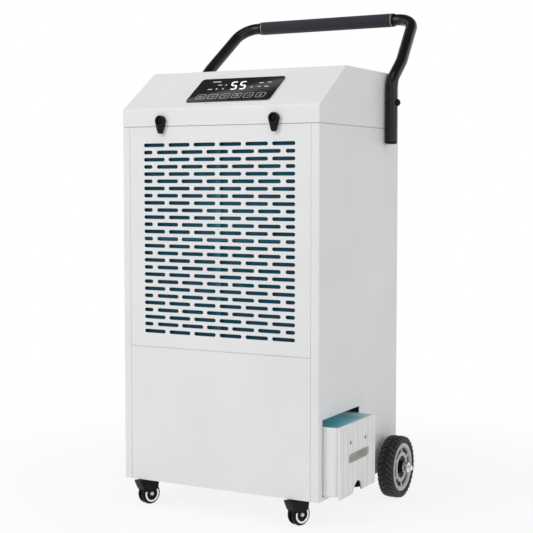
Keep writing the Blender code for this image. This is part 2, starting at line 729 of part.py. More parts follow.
def tyre_profile():
    half = TYRE_WIDTH / 2
    seat = RIM_R + FIT
    upper = [(seat, half - 0.003), (WHEEL_R - 0.007, half), (WHEEL_R - 0.001, half - 0.006)]
    lower = [(radius, -height) for radius, height in reversed(upper)]
    return upper + [(WHEEL_R, 0)] + lower


def rim_profile():
    """Dished plastic rim: outer band, web, inner ring and bore."""
    half = TYRE_WIDTH / 2
    face = half - 0.001
    bore = AXLE_R + FIT
    front = [(bore, face + 0.003), (0.014, face + 0.003), (0.015, face - 0.004),
             (0.024, face - 0.004), (0.025, face), (0.033, face), (0.034, face - 0.004),
             (0.044, face - 0.004), (0.045, face), (RIM_R, face - 0.0015)]
    back = [(RIM_R, -face), (0.045, -face), (0.044, face - 0.011), (0.017, face - 0.011),
            (0.016, -face - 0.002), (bore, -face - 0.002)]
    return front + back


def rim_window(name, index, rotation, axis):
    pitch = 360 / RIM_WINDOWS
    start = index * pitch + 7
    end = start + pitch - 14
    sector = arc((0, 0), 0.0435, start, end, 3) + arc((0, 0), 0.0345, end, start, 3)
    return as_mesh(outline(name, [sector], 0.06, None, (0, 0, 0), rotation, axis))


# ---------------------------------------------------------------- casters
def casters():
    for side, sign in (("left", -1), ("right", 1)):
        swivel = empty(f"caster_{side}_swivel", (sign * CASTER_X, CASTER_Y, 0), CASTER_TURN,
                       cabinet)
        plate_top = BASE_Z - FIT
        plate = [rounded_rectangle(0.046, 0.046, 0.005, 2),
                 circle((0, 0), CASTER_PIN_R + 0.0006, 12)]
        outline(f"caster_{side}_plate", plate, CASTER_PLATE, STEEL,
                (sign * CASTER_X, CASTER_Y, plate_top - CASTER_PLATE / 2))
        caster_body(side, swivel, plate_top - CASTER_PLATE - FIT)
        reach = CASTER_WEB / 2 + FIT + CASTER_DISC
        cylinder(f"caster_{side}_axle", (0, CASTER_TRAIL, CASTER_WHEEL_R), CASTER_AXLE_R,
                 2 * reach - 0.010, "X", STEEL, 12, swivel)
        for disc, way in (("inner", -1), ("outer", 1)):
            turned(f"caster_{side}_{disc}_wheel", caster_wheel_profile(), BLACK_PLASTIC,
                   (way * (CASTER_WEB / 2 + FIT), CASTER_TRAIL, CASTER_WHEEL_R),
                   (0, way * pi / 2, 0), 20, swivel)


def caster_body(side, swivel, top):
    """Hooded body: a middle web, a flat top with a pointed nose, and a boss for the pin."""
    axle_z = CASTER_WHEEL_R
    shape = [(0, top), (CASTER_NOSE, top), (CASTER_NOSE - 0.0005, top - 0.003),
             (CASTER_NOSE - 0.0075, axle_z + 0.013), (CASTER_TRAIL + 0.017, axle_z - 0.0035),
             (CASTER_TRAIL + 0.006, axle_z - 0.0115), (CASTER_TRAIL - 0.006, axle_z - 0.0115),
             (0, axle_z - 0.0035)]
    body = as_mesh(outline(f"caster_{side}_body", [shape], CASTER_WIDTH, BLACK_PLASTIC,
                           (0, 0, 0), SIDEWAYS, swivel))
    boss = cylinder(f"caster_{side}_boss", (0, 0, top - CASTER_NECK / 2), CASTER_BOSS_R,
                    CASTER_NECK, "Z", segments=16, parent=swivel)
    join(body, boss)
    space = CASTER_WIDTH / 2
    for way in (-1, 1):
        middle = way * (CASTER_WEB / 2 + space / 2)
        well = cylinder(f"caster_{side}_well_{way + 1}", (middle, CASTER_TRAIL, CASTER_WHEEL_R),
                        CASTER_WHEEL_R + CASTER_GAP, space, "X", segments=24, parent=swivel)
        cut(body, well)
    pin_z = top + CASTER_PLATE + FIT - CASTER_NECK / 2
    pin = cylinder(f"caster_{side}_pin", (0, 0, pin_z), CASTER_PIN_R, CASTER_NECK, "Z",
                   segments=12, parent=swivel)
    join(body, pin)
    bore = cylinder(f"caster_{side}_bore", (0, CASTER_TRAIL, CASTER_WHEEL_R),
                    CASTER_AXLE_R + FIT, 0.05, "X", segments=12, parent=swivel)
    cut(body, bore)


def caster_wheel_profile():
    """One disc: flat inside, a raised ring and a hub cap outside, blind bore."""
    rim = CASTER_WHEEL_R
    wide = CASTER_DISC
    bore = CASTER_AXLE_R + FIT
    return [(0, wide), (0.0050, wide - 0.0025), (0.0120, wide - 0.0025), (0.0130, wide - 0.0005),
            (rim - 0.003, wide - 0.0010), (rim, wide - 0.0045), (rim, 0), (bore, 0),
            (bore, wide - 0.0040), (0, wide - 0.0040)]


# ---------------------------------------------------------------- water tank
def water_tank():
    inner_x = TANK_OUT_X - TANK_LENGTH
    face_x = TANK_OUT_X - TANK_FACE
    tub = box("water_tank", (inner_x, TANK_Y0, TANK_FLOOR_Z),
              (face_x + 0.001, TANK_Y1, TANK_RIM_Z), WHITE_PLASTIC, drop="+Z")
    solidify(tub, TANK_WALL)
    face = rectangle(TANK_Y0, TANK_Y1, TANK_LIP_Z, TANK_RIM_Z)
    front = as_mesh(outline("tank_face", [face], TANK_FACE, None,
                            (TANK_OUT_X - TANK_FACE / 2, 0, 0), SIDEWAYS))
    join(tub, bevel(front, 0.003, 2))
    pocket_x = TANK_OUT_X - POCKET_DEPTH
    wall = TANK_WALL
    slot = stadium(GRIP_SLOT_Y0, GRIP_SLOT_Y1, GRIP_SLOT_Z, GRIP_SLOT_HEIGHT, 4)
    pocket = stadium(GRIP_SLOT_Y0 - wall, GRIP_SLOT_Y1 + wall, GRIP_SLOT_Z,
                     GRIP_SLOT_HEIGHT + 2 * wall, 4)
    notch = arc((NOTCH_Y, TANK_LIP_Z), NOTCH_R, 0, 180, 8)
    notch += [(NOTCH_Y - NOTCH_R, TANK_LIP_Z - 0.01), (NOTCH_Y + NOTCH_R, TANK_LIP_Z - 0.01)]
    foot = degrees(asin((TANK_FLOOR_Z - TANK_LIP_Z) / (NOTCH_R + wall)))
    arch = arc((NOTCH_Y, TANK_LIP_Z), NOTCH_R + wall, foot, 180 - foot, 8)
    for name, loop in (("slot_pocket", pocket), ("notch_pocket", arch)):
        length = POCKET_DEPTH
        middle_x = TANK_OUT_X - 0.001 - length / 2
        join(tub, as_mesh(outline(name, [loop], length, None, (middle_x, 0, 0), SIDEWAYS)))
    for name, loop in (("grip_slot", slot), ("thumb_notch", notch)):
        length = POCKET_DEPTH - wall + 0.01
        middle_x = pocket_x + wall + length / 2
        cut(tub, as_mesh(outline(name, [loop], length, None, (middle_x, 0, 0), SIDEWAYS)))
    grooves = []
    for y in RIB_GROOVES_Y:
        grooves.append(((TANK_OUT_X - GROOVE_DEPTH, y - GROOVE_WIDTH / 2, TANK_LIP_Z - 0.01),
                        (TANK_OUT_X + 0.01, y + GROOVE_WIDTH / 2, TANK_RIM_Z - 0.004)))
    cut(tub, boxes("rib_grooves", grooves))
    tank_float(inner_x)


def tank_float(inner_x):
    """Float on an arm that hangs from the tank's inner end."""
    hinge_x = inner_x + 0.012
    axis = empty("float_axis", (hinge_x, NOTCH_Y, FLOAT_HINGE_Z), parent=cabinet)
    float_block = box("tank_float", (0.024, -0.022, -0.024), (0.062, 0.022, -0.002),
                      WHITE_PLASTIC, parent=axis)
    bevel(float_block, 0.002, 1)
    arm = box("float_arm", (-0.004, -0.006, -0.006), (0.030, 0.006, -0.0025), parent=axis)
    pivot = cylinder("float_pivot", (0, 0, -0.003), 0.004, 0.040, "Y", segments=12, parent=axis)
    join(float_block, arm)
    join(float_block, pivot)


# ---------------------------------------------------------------- inside
def shelf_and_drain():
    inset = SHEET + 0.0009
    half_x = HALF - inset
    loops = [rectangle(-half_x, half_x, FRONT + 0.0195, REAR - inset),
             circle((SPOUT_X, SPOUT_Y), 0.0115, 16),
             circle((SUCTION_X, SUCTION_Y), 2 * SUCTION_R, 12),
             circle((DISCHARGE_X, DISCHARGE_Y), 2 * DISCHARGE_R, 12)]
    outline("mid_shelf", loops, SHEET, STEEL, (0, 0, SHELF_Z))
    tray = box("drip_tray", (-0.205, -0.182, TRAY_Z), (0.205, -0.072, TRAY_Z + 0.022),
               WHITE_PLASTIC, drop="+Z")
    solidify(tray, 0.002)
    cut(tray, cylinder("tray_drain", (SPOUT_X, SPOUT_Y, TRAY_Z), 0.0075, 0.02, "Z", segments=12))
    spout_top = TRAY_Z - FIT
    length = spout_top - SPOUT_END_Z
    spout = [(0.015, 0), (0.015, -0.0025), (0.0100, -0.003), (0.0085, -length),
             (0.0070, -length), (0.0075, 0)]
    turned("drain_spout", spout, WHITE_PLASTIC, (SPOUT_X, SPOUT_Y, spout_top), steps=12)


def air_filter():
    """Framed net behind the grille: the net is a thin sheet inside a moulded frame."""
    rail = FILTER_RAIL
    middle_z = (FILTER_LOW_Z + FILTER_HIGH_Z) / 2
    front_y = FRONT + 0.0045
    net_y = front_y + 0.0062
    windows = []
    for x0, x1 in ((-FILTER_HALF + rail, -rail / 2), (rail / 2, FILTER_HALF - rail)):
        for z0, z1 in ((FILTER_LOW_Z + rail, middle_z - rail / 2),
                       (middle_z + rail / 2, FILTER_HIGH_Z - rail)):
            windows.append(((x0, front_y - 0.01, z0), (x1, net_y, z1)))
    frame = box("air_filter", (-FILTER_HALF, front_y, FILTER_LOW_Z),
                (FILTER_HALF, front_y + 0.0075, FILTER_HIGH_Z), FILTER_NET)
    cut(frame, boxes("filter_windows", windows))


def coil(name, y0, y1, finish):
    """Fin pack between two tube sheets, with return bends at its left end."""
    pack = box(name, (-COIL_HALF, y0, COIL_LOW_Z), (COIL_HALF, y1, COIL_HIGH_Z), finish)
    for end, x in (("left", -COIL_HALF), ("right", COIL_HALF)):
        sheet = box(f"{name}_{end}_sheet", (x - 0.002, y0 - 0.002, COIL_LOW_Z - 0.004),
                    (x + 0.002, y1 + 0.002, COIL_HIGH_Z + 0.004))
        join(pack, sheet)
    middle_y = (y0 + y1) / 2
    near = -COIL_HALF + 0.005
    far = -COIL_HALF - 0.020
    for index in range(COIL_BENDS):
        low = COIL_LOW_Z + 0.025 + index * 0.100
        high = low + 0.030
        bend = [Vector((near, middle_y, low)), Vector((far, middle_y, low)),
                Vector((far, middle_y, high)), Vector((near, middle_y, high))]
        path = rounded_path(bend, (0.0149, 0.0149), 2)
        join(pack, as_mesh(tube(f"{name}_bend_{index}", path, 0.004, resolution=1)))


def fan():
    plate = [rectangle(-0.215, 0.215, COIL_LOW_Z + 0.002, COIL_HIGH_Z + 0.010),
             circle((FAN_X, FAN_Z), FAN_R + 0.008, 32)]
    outline("fan_shroud", plate, 0.002, STEEL, (0, SHROUD_Y, 0), UPRIGHT)
    axis = empty("fan_axis", (FAN_X, FAN_Y, FAN_Z), parent=cabinet)
    hub = [(0, 0.026), (0.0295, 0.026), (0.034, 0.022), (0.034, -0.016), (0.0315, -0.020),
           (0.007, -0.020), (0.007, -0.062), (0, -0.062)]
    impeller = turned("fan_impeller", hub, GREY_PLASTIC, (0, 0, 0), UPRIGHT, 16, axis)
    for index in range(FAN_BLADES):
        turn = 2 * pi * index / FAN_BLADES
        blade = outline(f"blade_{index}", [blade_shape()], 0.0022, None, (0, 0, 0),
                        (BLADE_PITCH, turn, 0), axis)
        join(impeller, as_mesh(blade))
    motor = [(0, -0.006), (0.0074, -0.006), (0.0074, MOTOR_HALF), (0.040, MOTOR_HALF),
             (0.045, MOTOR_HALF - 0.005), (0.045, -MOTOR_HALF + 0.005), (0.040, -MOTOR_HALF),
             (0, -MOTOR_HALF)]
    turned("fan_motor", motor, STEEL, (FAN_X, MOTOR_Y, FAN_Z), UPRIGHT, 16)
    bracket_y = MOTOR_Y + MOTOR_HALF + FIT
    bracket = box("motor_bracket", (FAN_X - 0.025, bracket_y, SHELF_Z + SHEET),
                  (FAN_X + 0.025, bracket_y + 0.0025, 0.820), STEEL)
    foot = box("bracket_foot", (FAN_X - 0.025, bracket_y, SHELF_Z + SHEET),
               (FAN_X + 0.025, bracket_y + 0.045, SHELF_Z + SHEET + 0.0025))
    join(bracket, foot)


def blade_shape():
    """One blade, from inside the hub to the tip, in its own flat plane."""
    root = 0.026
    tip = arc((0, 0), FAN_R - 0.004, -17, 17, 4)
    return [(root, -0.013)] + tip + [(root, 0.013)]


def compressor():
    """Hermetic compressor on a three-footed plate over the base pan."""
    centre = (COMPRESSOR_X, COMPRESSOR_Y, COMPRESSOR_Z)
    radius = COMPRESSOR_R
    top = COMPRESSOR_HEIGHT
    shell = [(0, top), (radius * 0.45, top - 0.004), (radius * 0.82, top - 0.018),
             (radius, top - 0.045), (radius, 0.022), (radius * 0.85, 0.008),
             (radius * 0.5, 0.0), (0, 0.0)]
    turned("compressor", shell, BLACK_PAINT, centre, steps=16)
    mount = [rectangle(COMPRESSOR_X - 0.060, COMPRESSOR_X + 0.060, COMPRESSOR_Y - 0.052,
                       COMPRESSOR_Y + 0.050)]
    plate = as_mesh(outline("compressor_mount", mount, 0.003, STEEL, (0, 0, MOUNT_Z)))
    foot_low = BASE_Z + SHEET + FIT
    for index, (dx, dy) in enumerate(((-0.045, -0.038), (0.045, -0.038), (0.0, 0.038))):
        where = (COMPRESSOR_X + dx, COMPRESSOR_Y + dy, (foot_low + MOUNT_Z) / 2)
        foot = cylinder(f"mount_foot_{index}", where, 0.011, MOUNT_Z - foot_low, "Z",
                        segments=12)
        join(plate, foot)


def pipes():
    top = COMPRESSOR_Z + COMPRESSOR_HEIGHT + FIT
    rise = COMPRESSOR_Y - 0.030
    discharge = [Vector((DISCHARGE_X, rise, top - 0.0093)), Vector((DISCHARGE_X, rise, 0.325)),
                 Vector((DISCHARGE_X, DISCHARGE_Y, 0.330)),
                 Vector((DISCHARGE_X, DISCHARGE_Y, PIPE_LEVEL_Z)),
                 Vector((DISCHARGE_X - 0.030, -0.062, PIPE_LEVEL_Z + 0.004)),
                 Vector((DISCHARGE_X - 0.030, -0.062, 0.500))]
    path = rounded_path(discharge, (0.006, 0.006, 0.015, 0.012), 3)
    tube("discharge_pipe", path, DISCHARGE_R, COPPER)
    suction = [Vector((COMPRESSOR_X, COMPRESSOR_Y, top)),
               Vector((COMPRESSOR_X, COMPRESSOR_Y, top + 0.014)),
               Vector((SUCTION_X, SUCTION_Y, top + 0.014)),
               Vector((SUCTION_X, SUCTION_Y, PIPE_LEVEL_Z)),
               Vector((SUCTION_X, -0.060, PIPE_LEVEL_Z))]
    path = rounded_path(suction, (0.008, 0.008, 0.012), 3)
    tube("suction_pipe", path, SUCTION_R, COPPER)


def electrical_box():
    casing = box("electrical_box", (0.145, 0.060, SHELF_Z + SHEET), (0.220, 0.150, 0.560), STEEL)
    bevel(casing, 0.002, 1)


base_pan()
side_panels()
front_panels()
rear_panel()
rear_fittings()
hood()
control_panel()
latches()
handle()
rear_wheels()
casters()
water_tank()
shelf_and_drain()
air_filter()
coil("evaporator_coil", -0.172, -0.138, ALUMINIUM)
coil("condenser_coil", -0.118, -0.078, ALUMINIUM)
fan()
compressor()
pipes()
electrical_box()
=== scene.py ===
"""Looks of the dehumidifier on wheels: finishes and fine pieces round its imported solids.

Everything is in metres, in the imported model's frame: +X to the tank side, +Y to the rear.
"""

from math import atan2, cos, degrees, pi, radians, sin, tan

import bmesh
import bpy
from mathutils import Matrix, Vector


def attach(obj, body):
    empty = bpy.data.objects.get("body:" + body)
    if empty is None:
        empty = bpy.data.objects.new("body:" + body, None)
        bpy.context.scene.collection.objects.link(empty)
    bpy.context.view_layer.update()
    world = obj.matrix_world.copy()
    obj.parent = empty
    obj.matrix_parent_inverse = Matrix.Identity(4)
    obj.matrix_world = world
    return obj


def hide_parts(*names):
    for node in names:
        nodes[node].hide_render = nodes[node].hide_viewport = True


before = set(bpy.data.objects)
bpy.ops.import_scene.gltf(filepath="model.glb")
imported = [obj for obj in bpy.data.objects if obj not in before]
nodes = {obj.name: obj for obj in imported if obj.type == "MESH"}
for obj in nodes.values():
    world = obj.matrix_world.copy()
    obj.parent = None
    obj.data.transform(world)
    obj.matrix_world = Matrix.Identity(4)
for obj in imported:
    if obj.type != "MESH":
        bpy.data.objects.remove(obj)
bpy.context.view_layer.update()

# Sizes shared with the solids
FRONT = -0.2676
REAR = 0.1478
HALF = 0.240
SHEET = 0.0015
FOLD_Z = 0.873
TOP_Z = 0.960
SLOPE_RUN = 0.1264
SLOPE = atan2(TOP_Z - FOLD_Z, SLOPE_RUN)
SEAM_HIGH = 0.835         # open line under the hood
SEAM_LOW = 0.356          # open line between the front panels
GAP = 0.0016
FACE_HALF = 0.2199        # half width of the front panels
GLASS_X = 0.0150
GLASS_UP = 0.0648
GLASS_HALF = 0.102
GLASS_RISE = 0.0475
GLASS_OUT = 0.0042        # face of the glass above the slope
LATCH_X = 0.138
LATCH_Z = 0.847
LEG_X = 0.2538
LEG_Y = 0.0721
LEG_FOOT_Z = 0.805
BEND_Z = 0.942
TOE_IN_Z = 0.990
BAR_X = 0.231
BAR_Y = 0.2621
BAR_Z = 1.102
TUBE_R = 0.0135
GRIP_R = 0.016
GRIP_HALF = 0.183
BOLT_Z = 0.893
AXLE_Y = 0.0691
WHEEL_R = 0.070
WHEEL_X = 0.272           # middle of the tyre
CASTER_X = 0.187
CASTER_Y = -0.2344
CASTER_TURN = radians(159)
CASTER_TRAIL = 0.012
CASTER_R = 0.0235
TANK_X0 = -0.080
TANK_X1 = 0.280
TUB_X1 = TANK_X1 - 0.0046     # the tub ends inside the ribbed front
TANK_Y0 = -0.2499
TANK_Y1 = -0.0679
TANK_Z0 = 0.0675
TANK_Z1 = 0.213
TANK_LIP_Z = 0.0635       # foot of the ribbed front, below the tub
TANK_WALL = 0.0028
SLOT_Y = (-0.2099, -0.1019)
SLOT_Z = 0.1415
SLOT_HEIGHT = 0.021
NOTCH_Y = -0.1599
NOTCH_R = 0.024
GROOVES_Y = (-0.2349, -0.2099, -0.1859, -0.1619, -0.1374, -0.1104, -0.0849)
DIMPLES = ((-0.1979, 0.175), (-0.1214, 0.173))
MM = 0.001

UPRIGHT = Matrix.Rotation(pi / 2, 4, "X")              # local Z to -Y
REARWARD = Matrix.Rotation(-pi / 2, 4, "X")            # local Z to +Y
SIDEWAYS = Matrix.Rotation(pi / 2, 4, "Z") @ Matrix.Rotation(pi / 2, 4, "X")


# ---------------------------------------------------------------- finishes
def linear(code):
    """An sRGB hex colour as linear RGBA."""
    parts = [int(code[i:i + 2], 16) / 255 for i in (0, 2, 4)]
    return (*[c / 12.92 if c <= 0.04045 else ((c + 0.055) / 1.055) ** 2.4 for c in parts], 1.0)


def add(tree, kind, inputs=None, **settings):
    """Add one node; each input is a value or another node's output."""
    node = tree.nodes.new("ShaderNode" + kind)
    for key, value in settings.items():
        setattr(node, key, value)
    for key, value in (inputs or {}).items():
        if isinstance(value, bpy.types.NodeSocket):
            tree.links.new(value, node.inputs[key])
        else:
            node.inputs[key].default_value = value
    return node


def finish(name, roughness, metallic=0.0, **more):
    """A new material with its tree, its shader and a coordinate in millimetres."""
    skin = bpy.data.materials.new(name)
    skin.use_nodes = True
    tree = skin.node_tree
    shader = tree.nodes["Principled BSDF"]
    shader.inputs["Roughness"].default_value = roughness
    shader.inputs["Metallic"].default_value = metallic
    for key, value in more.items():
        shader.inputs[key.replace("_", " ")].default_value = value
    place = add(tree, "TexCoord").outputs["Object"]
    place = add(tree, "VectorMath", {0: place, 1: (1000, 1000, 1000)}, operation="MULTIPLY")
    return skin, tree, shader, place.outputs[0]


def speckle(tree, place, size, detail=3.0, stretch=(1, 1, 1)):
    """Noise whose grains are about size millimetres across."""
    spread = add(tree, "VectorMath", {0: place, 1: stretch}, operation="MULTIPLY").outputs[0]
    return add(tree, "TexNoise", {"Vector": spread, "Scale": 1 / size,
                                  "Detail": detail}).outputs["Fac"]


def tint(tree, shader, share, low, high, spread=(0.35, 0.65)):
    """Base colour between two hex colours, as share goes across spread."""
    even = add(tree, "MapRange", {"Value": share, "From Min": spread[0],
                                  "From Max": spread[1]}).outputs[0]
    mix = add(tree, "Mix", {0: even, 6: linear(low), 7: linear(high)}, data_type="RGBA")
    tree.links.new(mix.outputs[2], shader.inputs["Base Color"])
    return mix


def vary(tree, shader, share, low, high):
    """Roughness that follows share."""
    even = add(tree, "MapRange", {"Value": share, "From Min": 0.3, "From Max": 0.7,
                                  "To Min": low, "To Max": high}).outputs[0]
    tree.links.new(even, shader.inputs["Roughness"])


def relief(tree, shader, height, depth, strength=1.0):
    """Bump of depth millimetres."""
    bump = add(tree, "Bump", {"Height": height, "Distance": depth * MM, "Strength": strength})
    tree.links.new(bump.outputs[0], shader.inputs["Normal"])


def powder_coat():
    """Polyester powder coat on sheet steel: a soft orange peel and a faint cast."""
    skin, tree, shader, place = finish("polyester_powder_coat", 0.42, IOR=1.5)
    cloud = speckle(tree, place, 190, 2)
    tint(tree, shader, cloud, "EDEDEE", "F1F1F1")
    peel = speckle(tree, place, 2.6, 2)        # peel is 1 to 2 mm; a little coarser here
    vary(tree, shader, peel, 0.38, 0.46)
    relief(tree, shader, peel, 0.035, 0.5)
    return skin


def moulded_white():
    """Injection-moulded white ABS: fine spark texture, slightly warmer than the paint."""
    skin, tree, shader, place = finish("moulded_white_abs", 0.45, IOR=1.53)
    tint(tree, shader, speckle(tree, place, 60, 2), "EFEFEE", "F4F4F3")
    grain = speckle(tree, place, 1.1, 3)
    vary(tree, shader, grain, 0.40, 0.52)
    relief(tree, shader, grain, 0.03, 0.5)
    return skin


def pocket_white():
    """The same ABS inside the finger slot, painted a little grey: painted shade for the deep slot.
    """
    skin, tree, shader, place = finish("slot_shaded_white_abs", 0.5, IOR=1.53)
    # Painted shade: greyer and warmer than the tank's white.
    tint(tree, shader, speckle(tree, place, 9, 3), "D6D6CC", "E4E4DC")
    relief(tree, shader, speckle(tree, place, 1.1, 3), 0.03, 0.5)
    return skin


def black_enamel():
    """Stoved black enamel on steel tube: deep gloss with a faint peel.

    It reflects a little less than enamel does, so that it reads as deep black.
    """
    skin, tree, shader, place = finish(
        "stoved_black_enamel", 0.22, IOR=1.5, Specular_IOR_Level=0.35)
    tint(tree, shader, speckle(tree, place, 40, 2), "09090A", "101011")
    peel = speckle(tree, place, 2.2, 2)
    vary(tree, shader, peel, 0.18, 0.28)
    relief(tree, shader, peel, 0.02, 0.4)
    return skin


def moulded_black():
    """Black ABS with a fine moulded grain that greys its highlights.

    It reflects less than such plastic does, so that it reads as deep black.
    """
    skin, tree, shader, place = finish("moulded_black_abs", 0.38, IOR=1.5,
                                       Specular_IOR_Level=0.15)
    tint(tree, shader, speckle(tree, place, 14, 3), "050506", "0A0A0B")
    grain = speckle(tree, place, 0.9, 3)
    vary(tree, shader, grain, 0.30, 0.46)
    relief(tree, shader, grain, 0.04, 0.5)
    return skin


def black_glass():
    """Back-printed tempered glass: a mirror-smooth face over black, with faint wipe marks."""
    skin, tree, shader, place = finish("back_printed_glass", 0.05, IOR=1.52)
    wipe = speckle(tree, place, 26, 4, (1, 0.25, 0.25))
    tint(tree, shader, wipe, "131315", "1C1C1F")
    vary(tree, shader, wipe, 0.012, 0.028)
    return skin


def foam_sleeve():
    """Closed-cell rubber foam: matt, blue-black, pocked with cells under a millimetre."""
    skin, tree, shader, place = finish("closed_cell_foam", 0.78, IOR=1.45, Sheen_Weight=0.2,
                                       Sheen_Roughness=0.45)
    cells = add(tree, "TexVoronoi", {"Vector": place, "Scale": 1 / 1.3}).outputs["Distance"]
    tint(tree, shader, cells, "171A20", "262A33", (0.1, 0.7))
    relief(tree, shader, cells, 0.10, 0.6)
    return skin


def tyre_rubber(name="vulcanised_rubber", low="0B0D0F", high="1A1C20"):
    """Vulcanised rubber with carbon black: matt, dusty in patches."""
    skin, tree, shader, place = finish(name, 0.62, IOR=1.52, Specular_IOR_Level=0.35)
    dust = speckle(tree, place, 7, 4)
    tint(tree, shader, dust, low, high)
    grain = speckle(tree, place, 0.8, 3)
    vary(tree, shader, grain, 0.5, 0.72)
    relief(tree, shader, grain, 0.06, 0.5)
    return skin


def grey_rim():
    """Grey polypropylene rim: warm grey with a waxy, faintly mottled skin."""
    skin, tree, shader, place = finish("moulded_grey_polypropylene", 0.42, IOR=1.49)
    tint(tree, shader, speckle(tree, place, 11, 3), "BDB8B5", "CBC7C4")
    grain = speckle(tree, place, 0.9, 3)
    vary(tree, shader, grain, 0.36, 0.5)
    relief(tree, shader, grain, 0.03, 0.5)
    return skin


def bright_chrome():
    """Chromium plate on steel: a mirror with hairlines from handling."""
    skin, tree, shader, place = finish("chromium_plate", 0.1, 1.0)
    hair = speckle(tree, place, 1.6, 4, (1, 1, 9))
    tint(tree, shader, hair, "E2E2E2", "F0F0F0")
    vary(tree, shader, hair, 0.06, 0.2)
    return skin


def zinc_plate():
    """Bright zinc plate on steel: cool grey with a soft, cloudy grain."""
    skin, tree, shader, place = finish("bright_zinc_plate", 0.35, 1.0)
    cloud = speckle(tree, place, 12, 4)
    tint(tree, shader, cloud, "A9ACAE", "C6C8C9")
    vary(tree, shader, speckle(tree, place, 3, 3, (1, 0.2, 1)), 0.26, 0.46)
    relief(tree, shader, speckle(tree, place, 1.2, 2), 0.01, 0.4)
    return skin


def copper_pipe():
    """Drawn copper pipe, browned where brazing heat has tarnished it."""
    skin, tree, shader, place = finish("drawn_copper", 0.3, 1.0)
    heat = speckle(tree, place, 18, 3)
    tint(tree, shader, heat, "8A4A32", "C9794F")
    vary(tree, shader, heat, 0.24, 0.42)
    return skin


def coil_fins():
    """Blue-green coated aluminium fins, stacked along X.

    Fins stand 1.6 mm apart, and are drawn 3.2 mm apart so that they show.
    """
    skin, tree, shader, place = finish("hydrophilic_fin_aluminium", 0.4, 0.6)
    fins = add(tree, "TexWave", {"Vector": place, "Scale": 2 * pi / (3.2 * 20)},
               wave_type="BANDS", bands_direction="X", wave_profile="SAW").outputs["Fac"]
    tint(tree, shader, fins, "173F4C", "5FA9B4", (0.2, 0.9))
    relief(tree, shader, fins, 0.8, 0.8)
    return skin


def filter_net():
    """Blue-green nylon filter net: a woven mesh, with painted light that makes it paler in the
    middle and painted shade that darkens it towards the edges of the slotted field.

    Threads stand 0.8 mm apart, and are drawn 1.6 mm apart so that they show.
    """
    skin, tree, shader, place = finish("woven_nylon_net", 0.75, IOR=1.53,
                                       Specular_IOR_Level=0.2)
    waves = [add(tree, "TexWave", {"Vector": place, "Scale": 2 * pi / (1.6 * 20)},
                 wave_type="BANDS", bands_direction=way).outputs["Fac"] for way in "XZ"]
    weave = add(tree, "Math", {0: waves[0], 1: waves[1]}, operation="MAXIMUM").outputs[0]
    # Painted light: broad pale patches in the net's colour.
    glow = speckle(tree, place, 150, 1.5)
    # Painted shade: the net gets darker towards the edges of the slotted field.
    apart = add(tree, "SeparateXYZ", {0: place})
    across = add(tree, "Math", {0: apart.outputs["X"], 1: 235}, operation="DIVIDE").outputs[0]
    upward = add(tree, "MapRange", {"Value": apart.outputs["Z"], "From Min": 330,
                                    "From Max": 860, "To Min": -1, "To Max": 1}).outputs[0]
    across = add(tree, "Math", {0: across, 1: 2}, operation="POWER").outputs[0]
    upward = add(tree, "Math", {0: upward, 1: 2}, operation="POWER").outputs[0]
    edge = add(tree, "Math", {0: across, 1: upward}, operation="ADD").outputs[0]
    edge = add(tree, "Math", {0: edge, 1: 0.35}, operation="MULTIPLY").outputs[0]
    glow = add(tree, "Math", {0: glow, 1: edge}, operation="SUBTRACT").outputs[0]
    mix = tint(tree, shader, glow, "276680", "4C97AA", (0.34, 0.80))
    dark = add(tree, "Mix", {0: weave, 6: (0.7, 0.7, 0.7, 1), 7: (1, 1, 1, 1)},
               data_type="RGBA")
    both = add(tree, "Mix", {0: 1.0, 6: mix.outputs[2], 7: dark.outputs[2]},
               data_type="RGBA", blend_type="MULTIPLY")
    tree.links.new(both.outputs[2], shader.inputs["Base Color"])
    relief(tree, shader, weave, 0.3, 0.7)
    return skin


def circuit_board():
    """Glass-epoxy board under green solder mask, with paler tracks."""
    skin, tree, shader, place = finish("green_solder_mask", 0.35, IOR=1.55)
    tracks = add(tree, "TexBrick", {"Vector": place, "Scale": 1 / 8.0}).outputs["Fac"]
    tint(tree, shader, tracks, "0D4A25", "2E7A45", (0.2, 0.8))
    relief(tree, shader, tracks, 0.05, 0.5)
    return skin


def tank_water():
    """Collected water in a white tank: clear cyan and rippled, with painted light that makes it
    paler towards the tank's front.

    Its painted glow stands for the daylight that comes through the tank's walls.
    """
    skin, tree, shader, place = finish("still_water_painted_glow", 0.06, IOR=1.333)
    apart = add(tree, "SeparateXYZ", {0: place})
    # Painted light: paler colour towards the tank's front.
    near = add(tree, "MapRange", {"Value": apart.outputs["X"], "From Min": 205,
                                  "From Max": 262}).outputs[0]
    mix = tint(tree, shader, near, "66BFD0", "9AE6F0", (0, 1))
    # Painted glow: the same colour feeds a faint emission.
    tree.links.new(mix.outputs[2], shader.inputs["Emission Color"])
    shader.inputs["Emission Strength"].default_value = 0.18
    relief(tree, shader, speckle(tree, place, 16, 1.5), 0.5, 0.35)
    return skin


def screen_ink():
    """White screen-print ink on the glass: flat and chalky, a little uneven."""
    skin, tree, shader, place = finish("white_screen_ink", 0.6, IOR=1.5)
    tint(tree, shader, speckle(tree, place, 1.5, 2), "C4C5C2", "DEDFDB")
    return skin


def lit_segments():
    """Light-emitting segments under the glass: cool white with a slightly softer edge."""
    skin, tree, shader, place = finish("lit_white_segments", 0.3, IOR=1.5,
                                       Emission_Strength=0.75)
    shader.inputs["Emission Color"].default_value = linear("F7FBFF")
    tint(tree, shader, speckle(tree, place, 2, 2), "DADCDD", "F2F4F5")
    return skin


def gloss_white():
    """Polished white ABS of the panel's frame, a little creamy."""
    skin, tree, shader, place = finish("polished_white_abs", 0.22, IOR=1.53)
    tint(tree, shader, speckle(tree, place, 40, 2), "FAFAF2", "FFFFF8")
    vary(tree, shader, speckle(tree, place, 1.2, 2), 0.18, 0.28)
    return skin


